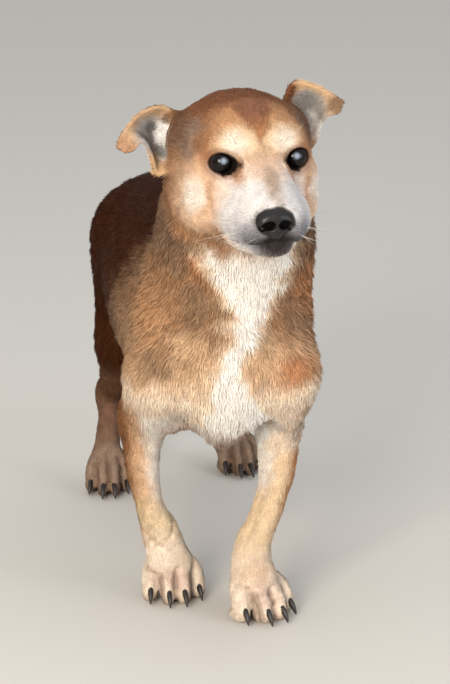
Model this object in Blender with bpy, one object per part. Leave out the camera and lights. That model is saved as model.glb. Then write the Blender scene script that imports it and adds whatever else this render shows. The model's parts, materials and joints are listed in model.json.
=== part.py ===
"""A short-legged, smooth-coated dog standing on four paws, life size (metres, +Z up).

The dog faces -Y with its left side at +X, and its soles are flat on Z = 0. Its outline is
one field made of rounded masses (muscles, bones and fur together) that melt into each
other. The field is meshed, thinned out, and cut into the body's parts with thin slots.
"""

import math

import bmesh
import bpy
import numpy as np
import openvdb
from mathutils import Euler, Matrix, Vector
from mathutils.bvhtree import BVHTree

# ---------------------------------------------------------------- driving dimensions
VOXEL = 0.002            # grid on which the outline is sampled
GAP = 0.0003             # air between touching parts
CRUMB = 1e-7             # a cut's leavings under this volume are dropped
BODY_TRIANGLES = 3700    # facets kept on the body's outline

MIDDLE = (0.0034, 0.002)  # the design's X and Y of the middle of the dog's box
HEAD_AT = (0.0122, -0.147, 0.372)
HEAD_YAW = 5.5           # degrees, the nose toward the dog's left
EYE_AT = (0.0279, -0.0420, 0.0025)
EYE_RADIUS = 0.0115
LID_RADIUS = 0.0136
NOSE_AT = (-0.0002, -0.0985, -0.0298)
NOSE_SIZE = (0.0154, 0.0090, 0.0120)
CLAW_LENGTH = 0.0120
CLAW_RADIUS = 0.0021

BOX_LOW = (-0.105, -0.275, -0.004)
BOX_HIGH = (0.115, 0.275, 0.432)


def place(origin, yaw=0.0, pitch=0.0, roll=0.0):
    """A local frame: yaw turns its front toward +X, pitch lowers it, roll lifts its left."""
    turn = Euler((math.radians(pitch), math.radians(-roll), math.radians(yaw)))
    return Matrix.Translation(origin) @ turn.to_matrix().to_4x4()


BODY = place((0, 0, 0))
HEAD = place(HEAD_AT, yaw=HEAD_YAW, pitch=1, roll=1)
PAWS = {
    # name: place on the floor, width against a front paw, length of the toes
    "fore_right": (place((-0.0378, -0.1065, 0), yaw=2), 0.94, 0.70),
    "fore_left": (place((0.0238, -0.1560, 0), yaw=23), 1.00, 0.72),
    "hind_right": (place((-0.0585, 0.161, 0), yaw=-6), 0.78, 0.78),
    "hind_left": (place((0.0670, 0.197, 0), yaw=6), 0.78, 0.78),
}
TOES = (-1.5, -0.5, 0.5, 1.5)


def at(frame, point):
    """A local point's place in the world."""
    return np.array(frame @ Vector(point))


# ---------------------------------------------------------------- distances
def smooth_min(a, b, k):
    """Union of two distances with a fillet about k wide."""
    h = np.maximum(k - np.abs(a - b), 0.0) / k
    return np.minimum(a, b) - h * h * (k * 0.25)


def ball_distance(p, mass):
    """Distance to an ellipsoid: centre, radii, and rows that are its local axes."""
    centre, radii, axes = mass
    d = [p[i] - centre[i] for i in range(3)]
    q = [axes[i][0] * d[0] + axes[i][1] * d[1] + axes[i][2] * d[2] for i in range(3)]
    near = np.sqrt(sum((q[i] / radii[i]) ** 2 for i in range(3)))
    slope = np.sqrt(sum((q[i] / radii[i] ** 2) ** 2 for i in range(3))) + 1e-6
    return near * (near - 1) / slope


def bone_distance(p, a, b, ra, rb, side):
    """Distance to a tapered tube from a to b, its section ra..rb = (across, deep)."""
    length = np.linalg.norm(b - a)
    axis = (b - a) / length
    u = side - axis * (side @ axis)
    u /= np.linalg.norm(u)
    w = np.cross(axis, u)
    d = [p[i] - a[i] for i in range(3)]
    along, across, deep = (d[0] * v[0] + d[1] * v[1] + d[2] * v[2] for v in (axis, u, w))
    t = np.clip(along / length, 0, 1)
    past = along - t * length
    ru = ra[0] + (rb[0] - ra[0]) * t
    rw = ra[1] + (rb[1] - ra[1]) * t
    rm2 = ru * rw
    near = np.sqrt((across / ru) ** 2 + (deep / rw) ** 2 + past ** 2 / rm2)
    slope = np.sqrt((across / ru ** 2) ** 2 + (deep / rw ** 2) ** 2 + past ** 2 / rm2 ** 2)
    return near * (near - 1) / (slope + 1e-6)


def spline(rows, steps):
    """Rows of numbers, read smoothly at `steps` places between each pair (Catmull-Rom)."""
    n = np.asarray(rows, float)
    p = np.vstack([2 * n[0] - n[1], n, 2 * n[-1] - n[-2]])
    t = (np.arange(steps) / steps)[:, None]
    out = []
    for a, b, c, d in zip(p[:-3], p[1:-2], p[2:-1], p[3:]):
        bend = (2 * a - 5 * b + 4 * c - d) * t ** 2 + (3 * b - a - 3 * c + d) * t ** 3
        out.append(0.5 * (2 * b + (c - a) * t + bend))
    out.append(p[-2][None])
    return np.vstack(out)


# ---------------------------------------------------------------- masses
class Masses(list):
    """The rounded masses of a dog, each (kind, data, fillet, is_cut)."""

    def ball(self, frame, centre, radii, fillet, turn=(0, 0, 0), cut=False, both=False):
        for s in (1, -1) if both else (1,):
            c = at(frame, (centre[0] * s, centre[1], centre[2]))
            e = Euler([math.radians(a) for a in (turn[0], turn[1] * s, turn[2] * s)])
            axes = np.array(frame.to_3x3() @ e.to_matrix()).T
            self.append(("ball", (c, radii, axes), fillet, cut))

    def limb(self, frame, rows, fillet, steps=5, both=False):
        """A chain of tubes through rows of x, y, z, half width, half depth."""
        for s in (1, -1) if both else (1,):
            fine = spline([(r[0] * s, *r[1:]) for r in rows], steps)
            points = np.array([at(frame, r[:3]) for r in fine])
            side = np.array(frame.to_3x3() @ Vector((1, 0, 0)))
            self.append(("limb", (points, fine[:, 3:5], side), fillet, False))

    def ear(self, frame, s, rows, half=0.0016, fillet=0.007):
        """A cupped flap: rows of front edge, back edge and how far the middle sits back."""
        front = spline([r[0] for r in rows], 6)
        back = spline([r[1] for r in rows], 6)
        cup = spline([(r[2],) for r in rows], 6)
        t = np.linspace(0, 1, 17)
        sheet = front[:, None] * (1 - t)[None, :, None] + back[:, None] * t[None, :, None]
        sheet[..., 1] += cup * (4 * t * (1 - t))[None]
        sheet[..., 0] *= s
        turn = np.array(frame)
        sheet = sheet @ turn[:3, :3].T + turn[:3, 3]
        self.append(("ear", (sheet, half), fillet, False))


def trunk(m):
    m.limb(BODY, [(0, -0.128, 0.204, 0.050, 0.057), (0, -0.100, 0.213, 0.059, 0.068),
                  (0, -0.055, 0.215, 0.069, 0.079), (0, 0.000, 0.218, 0.0745, 0.077),
                  (0, 0.045, 0.229, 0.0735, 0.070), (0, 0.090, 0.240, 0.0700, 0.062),
                  (0, 0.135, 0.245, 0.062, 0.056), (0, 0.165, 0.246, 0.049, 0.046)], 0.010)
    m.ball(BODY, (0, -0.164, 0.196), (0.038, 0.020, 0.040), 0.025)
    m.ball(BODY, (-0.003, -0.130, 0.158), (0.017, 0.034, 0.0225), 0.020)
    m.ball(BODY, (-0.038, -0.110, 0.160), (0.016, 0.024, 0.018), 0.022)
    m.limb(BODY, [(0.000, 0.186, 0.268, 0.0150, 0.0150), (0.003, 0.212, 0.248, 0.0125, 0.0125),
                  (0.009, 0.232, 0.208, 0.0105, 0.0105), (0.016, 0.240, 0.165, 0.0085, 0.0085),
                  (0.022, 0.252, 0.128, 0.0055, 0.0055)], 0.020)
    m.limb(BODY, [(0.0075, -0.078, 0.236, 0.060, 0.066), (0.0120, -0.100, 0.272, 0.0640, 0.0610),
                  (0.0115, -0.118, 0.308, 0.0615, 0.0540),
                  (0.0085, -0.126, 0.343, 0.0510, 0.0450)], 0.024)


def forelegs(m):
    # shoulder blade, upper arm and elbow of each side; the left leg stands further forward
    m.limb(BODY, [(-0.0250, -0.066, 0.270, 0.014, 0.026), (-0.0440, -0.100, 0.234, 0.020, 0.036),
                  (-0.0515, -0.138, 0.196, 0.0215, 0.030)], 0.020)
    m.limb(BODY, [(0.0330, -0.070, 0.270, 0.016, 0.026), (0.0490, -0.108, 0.234, 0.020, 0.036),
                  (0.0490, -0.150, 0.196, 0.0215, 0.030)], 0.020)
    m.limb(BODY, [(-0.0540, -0.138, 0.196, 0.0215, 0.028), (-0.0575, -0.114, 0.170, 0.0195, 0.028),
                  (-0.0585, -0.088, 0.148, 0.0160, 0.021)], 0.020)
    m.limb(BODY, [(0.0480, -0.150, 0.196, 0.0210, 0.028), (0.0480, -0.136, 0.170, 0.0180, 0.028),
                  (0.0465, -0.118, 0.150, 0.0155, 0.021)], 0.020)
    m.ball(BODY, (-0.0590, -0.078, 0.150), (0.012, 0.015, 0.015), 0.015)
    m.ball(BODY, (0.0480, -0.106, 0.154), (0.012, 0.015, 0.015), 0.015)
    # forearm, wrist and pastern
    m.limb(BODY, [(-0.0585, -0.092, 0.150, 0.0170, 0.0220), (-0.0600, -0.098, 0.113, 0.0136, 0.0175),
                  (-0.0585, -0.104, 0.096, 0.0113, 0.0145), (-0.0545, -0.107, 0.076, 0.0110, 0.0125),
                  (-0.0475, -0.107, 0.057, 0.0146, 0.0135), (-0.0430, -0.110, 0.042, 0.0155, 0.0125),
                  (-0.0400, -0.114, 0.027, 0.0190, 0.0115)], 0.014)
    m.limb(BODY, [(0.0470, -0.120, 0.152, 0.0168, 0.0220), (0.0425, -0.137, 0.118, 0.0146, 0.0175),
                  (0.0385, -0.145, 0.103, 0.0120, 0.0150), (0.0330, -0.151, 0.0875, 0.0118, 0.0130),
                  (0.0258, -0.156, 0.073, 0.0118, 0.0125), (0.0195, -0.159, 0.060, 0.0138, 0.0135),
                  (0.0182, -0.161, 0.043, 0.0160, 0.0125), (0.0205, -0.164, 0.028, 0.0185, 0.0115)], 0.014)


def hind_legs(m):
    for s, back in ((-1, 0.0), (1, 0.034)):     # the left leg stands further back
        stifle_y = 0.104 + back * 0.3
        m.limb(BODY, [(s * 0.039, 0.140, 0.240, 0.034, 0.050),
                      (s * 0.046, 0.122 + back * 0.15, 0.195, 0.027, 0.044),
                      (s * 0.053, stifle_y, 0.155, 0.0185, 0.028)], 0.025)
        m.limb(BODY, [(s * 0.053, stifle_y, 0.158, 0.0180, 0.026),
                      (s * 0.052, 0.142 + back * 0.6, 0.122, 0.0145, 0.0225),
                      (s * 0.0525, 0.180 + back * 0.9, 0.092, 0.0100, 0.0135),
                      (s * 0.0535, 0.194 + back, 0.080, 0.0100, 0.0125)], 0.018)
        m.ball(BODY, (s * 0.0530, 0.204 + back, 0.089), (0.0070, 0.0080, 0.0110), 0.010)
        m.limb(BODY, [(s * 0.0535, 0.191 + back, 0.082, 0.0100, 0.0130),
                      (s * 0.0550, 0.183 + back, 0.058, 0.0100, 0.0115),
                      (s * 0.058, 0.173 + back, 0.036, 0.0115, 0.0115),
                      (s * 0.059, 0.164 + back, 0.025, 0.0140, 0.0110)], 0.012)


def toe_tip(width, length, toe):
    """The local X and Y of a toe's tip."""
    outer = abs(toe) > 1
    return toe * 0.0132 * width * (1.04 if outer else 1.0), (-0.0130 if outer else -0.0285) * length


def paws(m):
    for frame, w, length in PAWS.values():
        for toe in TOES:
            x, y = toe_tip(w, length, toe)
            knuckle_y = (-0.004 if abs(toe) > 1 else -0.0165) * length
            m.limb(frame, [(toe * 0.0080 * w, 0.008, 0.0270, 0.0080 * w, 0.0085),
                           (toe * 0.0122 * w, knuckle_y, 0.0205, 0.0076 * w, 0.0082),
                           (x, y, 0.0085, 0.0072 * w, 0.0080)], 0.005, steps=2)
            m.ball(frame, (x * 0.97, y + 0.006, 0.0050), (0.0066 * w, 0.0100, 0.0062), 0.004)
        m.ball(frame, (0, 0.008, 0.0075), (0.0150 * w, 0.0120, 0.0085), 0.006)
        m.ball(frame, (0, 0.000, 0.0200), (0.0195 * w, 0.0150, 0.0100), 0.008)


def head(m):
    m.ball(HEAD, (0, 0.004, 0.0095), (0.0475, 0.052, 0.0365), 0.020)
    m.ball(HEAD, (0, -0.022, 0.0000), (0.0400, 0.033, 0.0325), 0.020)
    m.ball(HEAD, (0.0275, -0.002, -0.0280), (0.0245, 0.037, 0.0340), 0.018, both=True)
    m.ball(HEAD, (0.0330, -0.027, -0.0145), (0.0160, 0.019, 0.0125), 0.012, both=True)
    m.ball(HEAD, (0.0300, -0.024, -0.0370), (0.0200, 0.022, 0.0170), 0.012, both=True)
    m.ball(HEAD, (0.0200, -0.0375, 0.0165), (0.0160, 0.0110, 0.0090), 0.014, (0, 12, 0), both=True)
    # bridge, flews and chin
    m.limb(HEAD, [(0, -0.036, -0.0080, 0.0270, 0.0210), (0, -0.064, -0.0170, 0.0225, 0.0185),
                  (0, -0.090, -0.0275, 0.0178, 0.0140)], 0.016)
    m.limb(HEAD, [(0.0195, -0.040, -0.0340, 0.0155, 0.0195), (0.0170, -0.068, -0.0370, 0.0150, 0.0170),
                  (0.0115, -0.088, -0.0385, 0.0135, 0.0140)], 0.008, both=True)
    m.limb(HEAD, [(0, -0.010, -0.0450, 0.0360, 0.0185), (0, -0.050, -0.0545, 0.0245, 0.0115),
                  (0, -0.083, -0.0555, 0.0150, 0.0085)], 0.006)
    # lids, open in front of each eye
    m.ball(HEAD, EYE_AT, (LID_RADIUS,) * 3, 0.004, both=True)
    m.ball(HEAD, (0.0304, -0.0570, 0.0025), (0.0126, 0.0110, 0.0092), 0.0015, (0, -8, 24), True, True)
    # ears, held out to the sides and open to the front
    m.ball(HEAD, (0.0405, 0.010, 0.008), (0.0140, 0.0180, 0.0200), 0.015, both=True)
    m.ear(HEAD, -1, [((0.0440, 0.004, -0.0060), (0.0390, 0.022, 0.0220), 0.014),
                     ((0.0635, 0.004, -0.0150), (0.0560, 0.021, 0.0325), 0.014),
                     ((0.0680, 0.005, -0.0020), (0.0730, 0.016, 0.0300), 0.009),
                     ((0.0750, 0.003, 0.0115), (0.0860, 0.009, 0.0210), 0.004),
                     ((0.0870, 0.000, 0.0035), (0.0965, 0.003, 0.0085), 0.0)])
    m.ear(HEAD, 1, [((0.0450, 0.008, -0.0040), (0.0390, 0.026, 0.0260), 0.014),
                    ((0.0570, 0.008, -0.0010), (0.0470, 0.026, 0.0425), 0.013),
                    ((0.0625, 0.009, 0.0100), (0.0590, 0.023, 0.0425), 0.008),
                    ((0.0670, 0.007, 0.0200), (0.0710, 0.016, 0.0370), 0.003),
                    ((0.0765, 0.004, 0.0230), (0.0810, 0.008, 0.0300), 0.0)])


def dog_masses():
    m = Masses()
    trunk(m)
    forelegs(m)
    hind_legs(m)
    head(m)
    paws(m)
    return m


# ---------------------------------------------------------------- the field and its mesh
class Field:
    """Distances to the dog's outline, sampled on a grid."""

    def __init__(self, low, high, step):
        self.low = np.array(low)
        self.step = step
        counts = np.ceil((np.array(high) - low) / step).astype(int) + 1
        self.axes = [np.arange(n, dtype=np.float32) * step + l for n, l in zip(counts, low)]
        self.value = np.full(counts, 1.0, np.float32)

    def block(self, low, high):
        """The slice of the grid between two corners, and its coordinates."""
        first = np.maximum(((low - self.low) / self.step).astype(int), 0)
        last = ((high - self.low) / self.step).astype(int) + 2
        cut = tuple(slice(a, b) for a, b in zip(first, last))
        x, y, z = (axis[c] for axis, c in zip(self.axes, cut))
        return cut, (x[:, None, None], y[None, :, None], z[None, None, :])

    def add(self, kind, data, fillet, cut):
        if kind == "ball":
            reach = np.sqrt(((data[2].T * data[1]) ** 2).sum(1))
            low, high = data[0] - reach, data[0] + reach
        elif kind == "limb":
            low = (data[0] - data[1].max()).min(0)
            high = (data[0] + data[1].max()).max(0)
        else:
            low, high = data[0].reshape(-1, 3).min(0), data[0].reshape(-1, 3).max(0)
        margin = fillet + 2 * self.step
        where, p = self.block(low - margin, high + margin)
        if kind == "ball":
            d = ball_distance(p, data)
        elif kind == "limb":
            points, radii, side = data
            d = 1.0
            for i in range(len(points) - 1):
                tube = bone_distance(p, points[i], points[i + 1], radii[i], radii[i + 1], side)
                d = smooth_min(tube, d, 0.003)
        else:
            d = ear_distance(p, data, margin)
        old = self.value[where]
        self.value[where] = -smooth_min(-old, d, fillet) if cut else smooth_min(old, d, fillet)


def ear_distance(p, data, margin):
    """Distance to a flap of even thickness, found from its middle sheet."""
    sheet, half = data
    rows, columns = sheet.shape[:2]
    n = np.arange(rows * columns).reshape(rows, columns)
    quads = np.stack([n[:-1, :-1], n[1:, :-1], n[1:, 1:], n[:-1, 1:]], -1).reshape(-1, 4)
    tree = BVHTree.FromPolygons(sheet.reshape(-1, 3).tolist(), quads.tolist())
    x, y, z = np.broadcast_arrays(*p)
    found = [tree.find_nearest(q, margin)[3] for q in zip(x.flat, y.flat, z.flat)]
    return np.array([margin if d is None else d for d in found]).reshape(x.shape) - half


def dog_field(step):
    field = Field(BOX_LOW, BOX_HIGH, step)
    for mass in dog_masses():
        field.add(*mass)
    return field


def field_mesh(field, name):
    """The closed surface where the field is zero."""
    band = 4 * field.step
    volume = openvdb.FloatGrid(background=band)
    volume.copyFromArray(np.clip(field.value, -band, band).astype(np.float32))
    points, quads = volume.convertToQuads(0.0)
    points = points * field.step + field.low - (*MIDDLE, 0)
    mesh = bpy.data.meshes.new(name)
    mesh.from_pydata(points.tolist(), [], quads.tolist())
    return mesh


# ---------------------------------------------------------------- Blender helpers
def clear_scene():
    for obj in list(bpy.data.objects):
        bpy.data.objects.remove(obj)


def new_object(name, mesh, collection):
    obj = bpy.data.objects.new(name, mesh)
    collection.objects.link(obj)
    return obj


def modified(obj):
    """The object's mesh with its modifiers applied, and the object removed."""
    bpy.context.view_layer.update()
    mesh = bpy.data.meshes.new_from_object(obj.evaluated_get(bpy.context.evaluated_depsgraph_get()))
    bpy.data.objects.remove(obj)
    return mesh


def cut_by(obj, cutter):
    """Subtracts a cutter, which stays out of the view and the build."""
    cutter.hide_render = True
    cutter.display_type = "WIRE"
    boolean = obj.modifiers.new(cutter.name, "BOOLEAN")
    boolean.operation = "DIFFERENCE"
    boolean.solver = "EXACT"
    boolean.object = cutter


def local_mesh(name, frame, build):
    """A mesh built in a local frame with bmesh, then put in the world."""
    bm = bmesh.new()
    build(bm)
    centred = Matrix.Translation((-MIDDLE[0], -MIDDLE[1], 0)) @ frame
    bmesh.ops.transform(bm, matrix=centred, verts=bm.verts)
    mesh = bpy.data.meshes.new(name)
    bm.to_mesh(mesh)
    bm.free()
    mesh.shade_smooth()
    return mesh


def rounded(centre, radii, u=16, v=10):
    """An ellipsoid's recipe for local_mesh."""
    size = Matrix.Translation(centre) @ Matrix.Diagonal((*radii, 1))
    return lambda bm: bmesh.ops.create_uvsphere(bm, u_segments=u, v_segments=v, radius=1, matrix=size)


def claw(base, grow):
    """A pointed claw that bends down from its root, `grow` larger all round for a socket."""
    def build(bm):
        length = CLAW_LENGTH + 2 * grow
        bmesh.ops.create_cone(bm, segments=8, cap_ends=True, radius1=CLAW_RADIUS + grow,
                              radius2=0.0004 + grow, depth=length)
        sides = [e for e in bm.edges if abs(e.verts[0].co.z - e.verts[1].co.z) > length / 2]
        bmesh.ops.subdivide_edges(bm, edges=sides, cuts=2)
        for v in bm.verts:
            t = v.co.z / CLAW_LENGTH + 0.5
            chord = math.radians(20 + 14 * t)
            slope = math.radians(20 + 28 * t)
            v.co = Vector((v.co.x,
                           -math.cos(chord) * CLAW_LENGTH * t - math.sin(slope) * v.co.y,
                           -math.sin(chord) * CLAW_LENGTH * t + math.cos(slope) * v.co.y))
        bmesh.ops.translate(bm, verts=bm.verts, vec=base)
        bmesh.ops.recalc_face_normals(bm, faces=bm.faces)
    return build


# ---------------------------------------------------------------- where the body is divided
def slots():
    """Thin cuts through the body: frame, centre, turn about X and Y in degrees, and size."""
    yield BODY, (0.010, -0.125, 0.3465), (44, 0), (0.15, 0.135)     # head from neck
    yield BODY, (0.000, -0.115, 0.2675), (28.4, 0), (0.20, 0.200)   # neck from chest
    yield BODY, (0.000, -0.005, 0.2200), (90, 0), (0.20, 0.200)     # chest from abdomen
    yield BODY, (0.000, 0.066, 0.2300), (90, 0), (0.20, 0.160)      # abdomen from rump
    yield BODY, (0.009, 0.233, 0.2050), (11, 0), (0.045, 0.040)     # tail from rump
    yield BODY, (0.0165, 0.2405, 0.160), (10, 0), (0.045, 0.040)    # the tail's tip
    for s in (1, -1):
        yield HEAD, (s * 0.056, 0.015, 0.0190), (0, 90), (0.082, 0.070)      # ear
        yield BODY, (s * 0.055, 0.120, 0.1570), (0, 0), (0.070, 0.120)       # lower hind leg
    yield BODY, (-0.060, -0.120, 0.1510), (0, 25), (0.066, 0.140)   # right foreleg
    yield BODY, (0.054, -0.125, 0.1400), (0, -25), (0.070, 0.140)   # left foreleg
    for x, y in ((-0.043, -0.110), (0.018, -0.162)):
        yield BODY, (x, y, 0.0450), (0, 0), (0.050, 0.050)          # forepaw
    for x, back in ((-0.057, 0.0), (0.057, 0.034)):
        yield BODY, (x, 0.193 + back, 0.0800), (0, 0), (0.050, 0.060)        # hock
        yield BODY, (x * 1.04, 0.172 + back, 0.0360), (0, 0), (0.050, 0.050)  # hindpaw
    yield HEAD, (0, -0.075, -0.0520), (0, 0), (0.100, 0.090)        # mouth


JAW_BACK = (HEAD, (0, -0.030, -0.0680), (90, 0), (0.100, 0.0360))   # ends the mouth's slot

PARTS = {
    # node: (a point in it, colour)
    "head": ((0.012, -0.150, 0.375), "tan"),
    "lower_jaw": ((0.020, -0.215, 0.313), "white"),
    "neck": ((0.003, -0.120, 0.305), "tan"),
    "chest": ((0.000, -0.090, 0.215), "tan"),
    "abdomen": ((0.000, 0.030, 0.225), "brown"),
    "rump": ((0.000, 0.130, 0.225), "brown"),
    "tail_base": ((0.013, 0.238, 0.182), "brown"),
    "tail_tip": ((0.020, 0.246, 0.143), "brown"),
    "ear_left": ((0.080, -0.135, 0.398), "brown"),
    "ear_right": ((-0.060, -0.135, 0.385), "brown"),
    "foreleg_left": ((0.036, -0.142, 0.095), "tan"),
    "foreleg_right": ((-0.057, -0.102, 0.095), "tan"),
    "forepaw_left": ((0.022, -0.175, 0.015), "white"),
    "forepaw_right": ((-0.039, -0.120, 0.015), "white"),
    "shank_left": ((0.055, 0.170, 0.118), "brown"),
    "shank_right": ((-0.055, 0.145, 0.118), "brown"),
    "metatarsus_left": ((0.058, 0.215, 0.058), "brown"),
    "metatarsus_right": ((-0.058, 0.181, 0.058), "brown"),
    "hindpaw_left": ((0.067, 0.194, 0.012), "tan"),
    "hindpaw_right": ((-0.058, 0.158, 0.012), "tan"),
}

COLOURS = {
    # linear base colour and roughness
    "tan": ((0.45, 0.22, 0.09), 0.85),
    "brown": ((0.20, 0.08, 0.03), 0.85),
    "white": ((0.72, 0.64, 0.54), 0.85),
    "black": ((0.012, 0.011, 0.012), 0.40),
    "eye": ((0.010, 0.010, 0.014), 0.08),
}


def paint(obj, colour):
    """The part's own Principled material."""
    base, roughness = COLOURS[colour]
    material = bpy.data.materials.new(obj.name)
    material.use_nodes = True
    shader = material.node_tree.nodes["Principled BSDF"]
    shader.inputs["Base Color"].default_value = (*base, 1)
    shader.inputs["Roughness"].default_value = roughness
    shader.inputs["Metallic"].default_value = 0.0
    obj.data.materials.clear()
    obj.data.materials.append(material)


def slab(slot):
    """A slot's box, GAP thick across its plane."""
    frame, centre, (tilt_x, tilt_y), (sx, sy) = slot
    turn = Euler((math.radians(tilt_x), math.radians(tilt_y), 0)).to_matrix().to_4x4()
    matrix = frame @ Matrix.Translation(centre) @ turn @ Matrix.Diagonal((sx, sy, GAP, 1))
    return lambda bm: bmesh.ops.create_cube(bm, size=1, matrix=matrix)


def below_floor(bm):
    """The block under Z = 0, which leaves flat soles at one level."""
    size = Matrix.Translation((0, 0, -0.01)) @ Matrix.Diagonal((0.4, 0.7, 0.02, 1))
    bmesh.ops.create_cube(bm, size=1, matrix=size)


def joined_mesh(name, recipes):
    """One mesh of several (frame, recipe) shapes that stand apart."""
    def build(bm):
        for frame, recipe in recipes:
            part = bmesh.new()
            recipe(part)
            part.transform(frame)
            piece = bpy.data.meshes.new(name)
            part.to_mesh(piece)
            part.free()
            bm.from_mesh(piece)
            bpy.data.meshes.remove(piece)
    return local_mesh(name, BODY, build)


def islands(mesh):
    """The mesh's separate closed bodies, each as (centre of its box, new mesh)."""
    bm = bmesh.new()
    bm.from_mesh(mesh)
    left = set(bm.faces)
    while left:
        stack = [left.pop()]
        body = set(stack)
        while stack:
            for edge in stack.pop().edges:
                for face in edge.link_faces:
                    if face in left:
                        left.remove(face)
                        body.add(face)
                        stack.append(face)
        copy = bm.copy()
        keep = {face.index for face in body}
        copy.faces.ensure_lookup_table()
        gone = [face for face in copy.faces if face.index not in keep]
        bmesh.ops.delete(copy, geom=gone, context="FACES")
        points = np.array([v.co for v in copy.verts])
        volume = copy.calc_volume()
        piece = bpy.data.meshes.new("piece")
        copy.to_mesh(piece)
        copy.free()
        if volume > CRUMB:
            yield (points.min(0) + points.max(0)) / 2, piece
    bm.free()


def centre_origin(obj):
    """Puts the object's origin at the middle of its box, the mesh staying in place."""
    points = np.array([v.co for v in obj.data.vertices])
    middle = Vector((points.min(0) + points.max(0)) / 2)
    obj.data.transform(Matrix.Translation(-middle))
    obj.location = middle


def build_body(parts, cutters, small):
    """The outline, with sockets for the small parts, cut into the named nodes."""
    outline = new_object("outline", field_mesh(dog_field(VOXEL), "outline"), parts)
    thin = outline.modifiers.new("thin", "DECIMATE")
    thin.ratio = BODY_TRIANGLES / (2 * len(outline.data.polygons))
    body = new_object("body", modified(outline), parts)
    cut_by(body, new_object("cut_floor", joined_mesh("cut_floor", [(BODY, below_floor)]), cutters))
    cut_by(body, new_object("cut_sockets", joined_mesh("cut_sockets", small), cutters))
    main_slots = joined_mesh("cut_slots", [(BODY, slab(slot)) for slot in slots()])
    cut_by(body, new_object("cut_slots", main_slots, cutters))
    jaw_slot = joined_mesh("cut_jaw", [(BODY, slab(JAW_BACK))])
    cut_by(body, new_object("cut_jaw", jaw_slot, cutters))
    for centre, mesh in islands(modified(body)):
        near = min(PARTS, key=lambda n: np.linalg.norm(np.array(PARTS[n][0]) - centre - (*MIDDLE, 0)))
        obj = new_object(near, mesh, parts)
        paint(obj, PARTS[near][1])


def small_parts():
    """Eyes, nose and claws: name, frame, a recipe that takes how much to grow, and colour."""
    for s, side in ((1, "left"), (-1, "right")):
        centre = (s * EYE_AT[0], EYE_AT[1], EYE_AT[2])
        yield f"eye_{side}", HEAD, lambda g, c=centre: rounded(c, (EYE_RADIUS + g,) * 3), "eye"
    yield "nose", HEAD, lambda g: rounded(NOSE_AT, [r + g for r in NOSE_SIZE]), "black"
    for paw, (frame, width, length) in PAWS.items():
        for i, toe in enumerate(TOES):
            x, y = toe_tip(width, length, toe)
            root = (x, y - 0.0030, 0.0100)
            yield f"claw_{paw}_{i + 1}", frame, lambda g, r=root: claw(r, g), "black"


def main():
    clear_scene()
    parts = bpy.data.collections.new("standing_dog")
    cutters = bpy.data.collections.new("cutters")
    for collection in (parts, cutters):
        bpy.context.scene.collection.children.link(collection)
    small = list(small_parts())
    build_body(parts, cutters, [(frame, recipe(GAP)) for _, frame, recipe, _ in small])
    for name, frame, recipe, colour in small:
        paint(new_object(name, local_mesh(name, frame, recipe(0.0)), parts), colour)
    holder = new_object("dog", None, bpy.context.scene.collection)
    for obj in parts.objects:
        obj.data.name = obj.name
        centre_origin(obj)
        obj.parent = holder


if __name__ == "__main__":
    main()
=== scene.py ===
import json
import math

import bpy
import numpy as np
import openvdb
from mathutils import Euler, Matrix, Vector
from mathutils.bvhtree import BVHTree

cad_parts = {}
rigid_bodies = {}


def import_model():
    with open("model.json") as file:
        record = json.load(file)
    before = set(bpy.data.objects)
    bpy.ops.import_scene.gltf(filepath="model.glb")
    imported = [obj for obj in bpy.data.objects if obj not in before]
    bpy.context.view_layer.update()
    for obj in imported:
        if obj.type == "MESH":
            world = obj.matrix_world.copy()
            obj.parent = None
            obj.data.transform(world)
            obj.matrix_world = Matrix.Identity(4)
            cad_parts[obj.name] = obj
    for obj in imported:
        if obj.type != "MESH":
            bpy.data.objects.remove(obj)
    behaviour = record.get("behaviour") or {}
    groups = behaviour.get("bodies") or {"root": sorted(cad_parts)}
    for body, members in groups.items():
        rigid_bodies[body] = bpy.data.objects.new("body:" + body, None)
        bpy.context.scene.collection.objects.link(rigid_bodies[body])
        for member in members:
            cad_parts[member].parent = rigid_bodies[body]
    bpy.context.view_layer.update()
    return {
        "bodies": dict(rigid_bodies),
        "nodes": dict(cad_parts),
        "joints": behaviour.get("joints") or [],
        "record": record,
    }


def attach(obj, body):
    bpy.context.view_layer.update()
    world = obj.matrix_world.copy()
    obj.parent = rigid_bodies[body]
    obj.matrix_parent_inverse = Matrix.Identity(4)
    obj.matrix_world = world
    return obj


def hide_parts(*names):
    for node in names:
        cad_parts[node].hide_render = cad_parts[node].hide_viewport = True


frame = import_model()


# ---------------------------------------------------------------- flesh and bones
# The dog's body as rounded masses (skull, muscles and long bones, fur included) that melt
# into each other. Each mass is a distance that is negative inside; sizes are in metres, the
# dog faces -Y with its left side at +X, and it stands on Z = 0.

def place(origin, yaw=0.0, pitch=0.0, roll=0.0):
    """A local frame: yaw turns its front toward +X, pitch lowers it, roll lifts its left."""
    turn = Euler((math.radians(pitch), math.radians(-roll), math.radians(yaw)))
    return Matrix.Translation(origin) @ turn.to_matrix().to_4x4()


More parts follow.
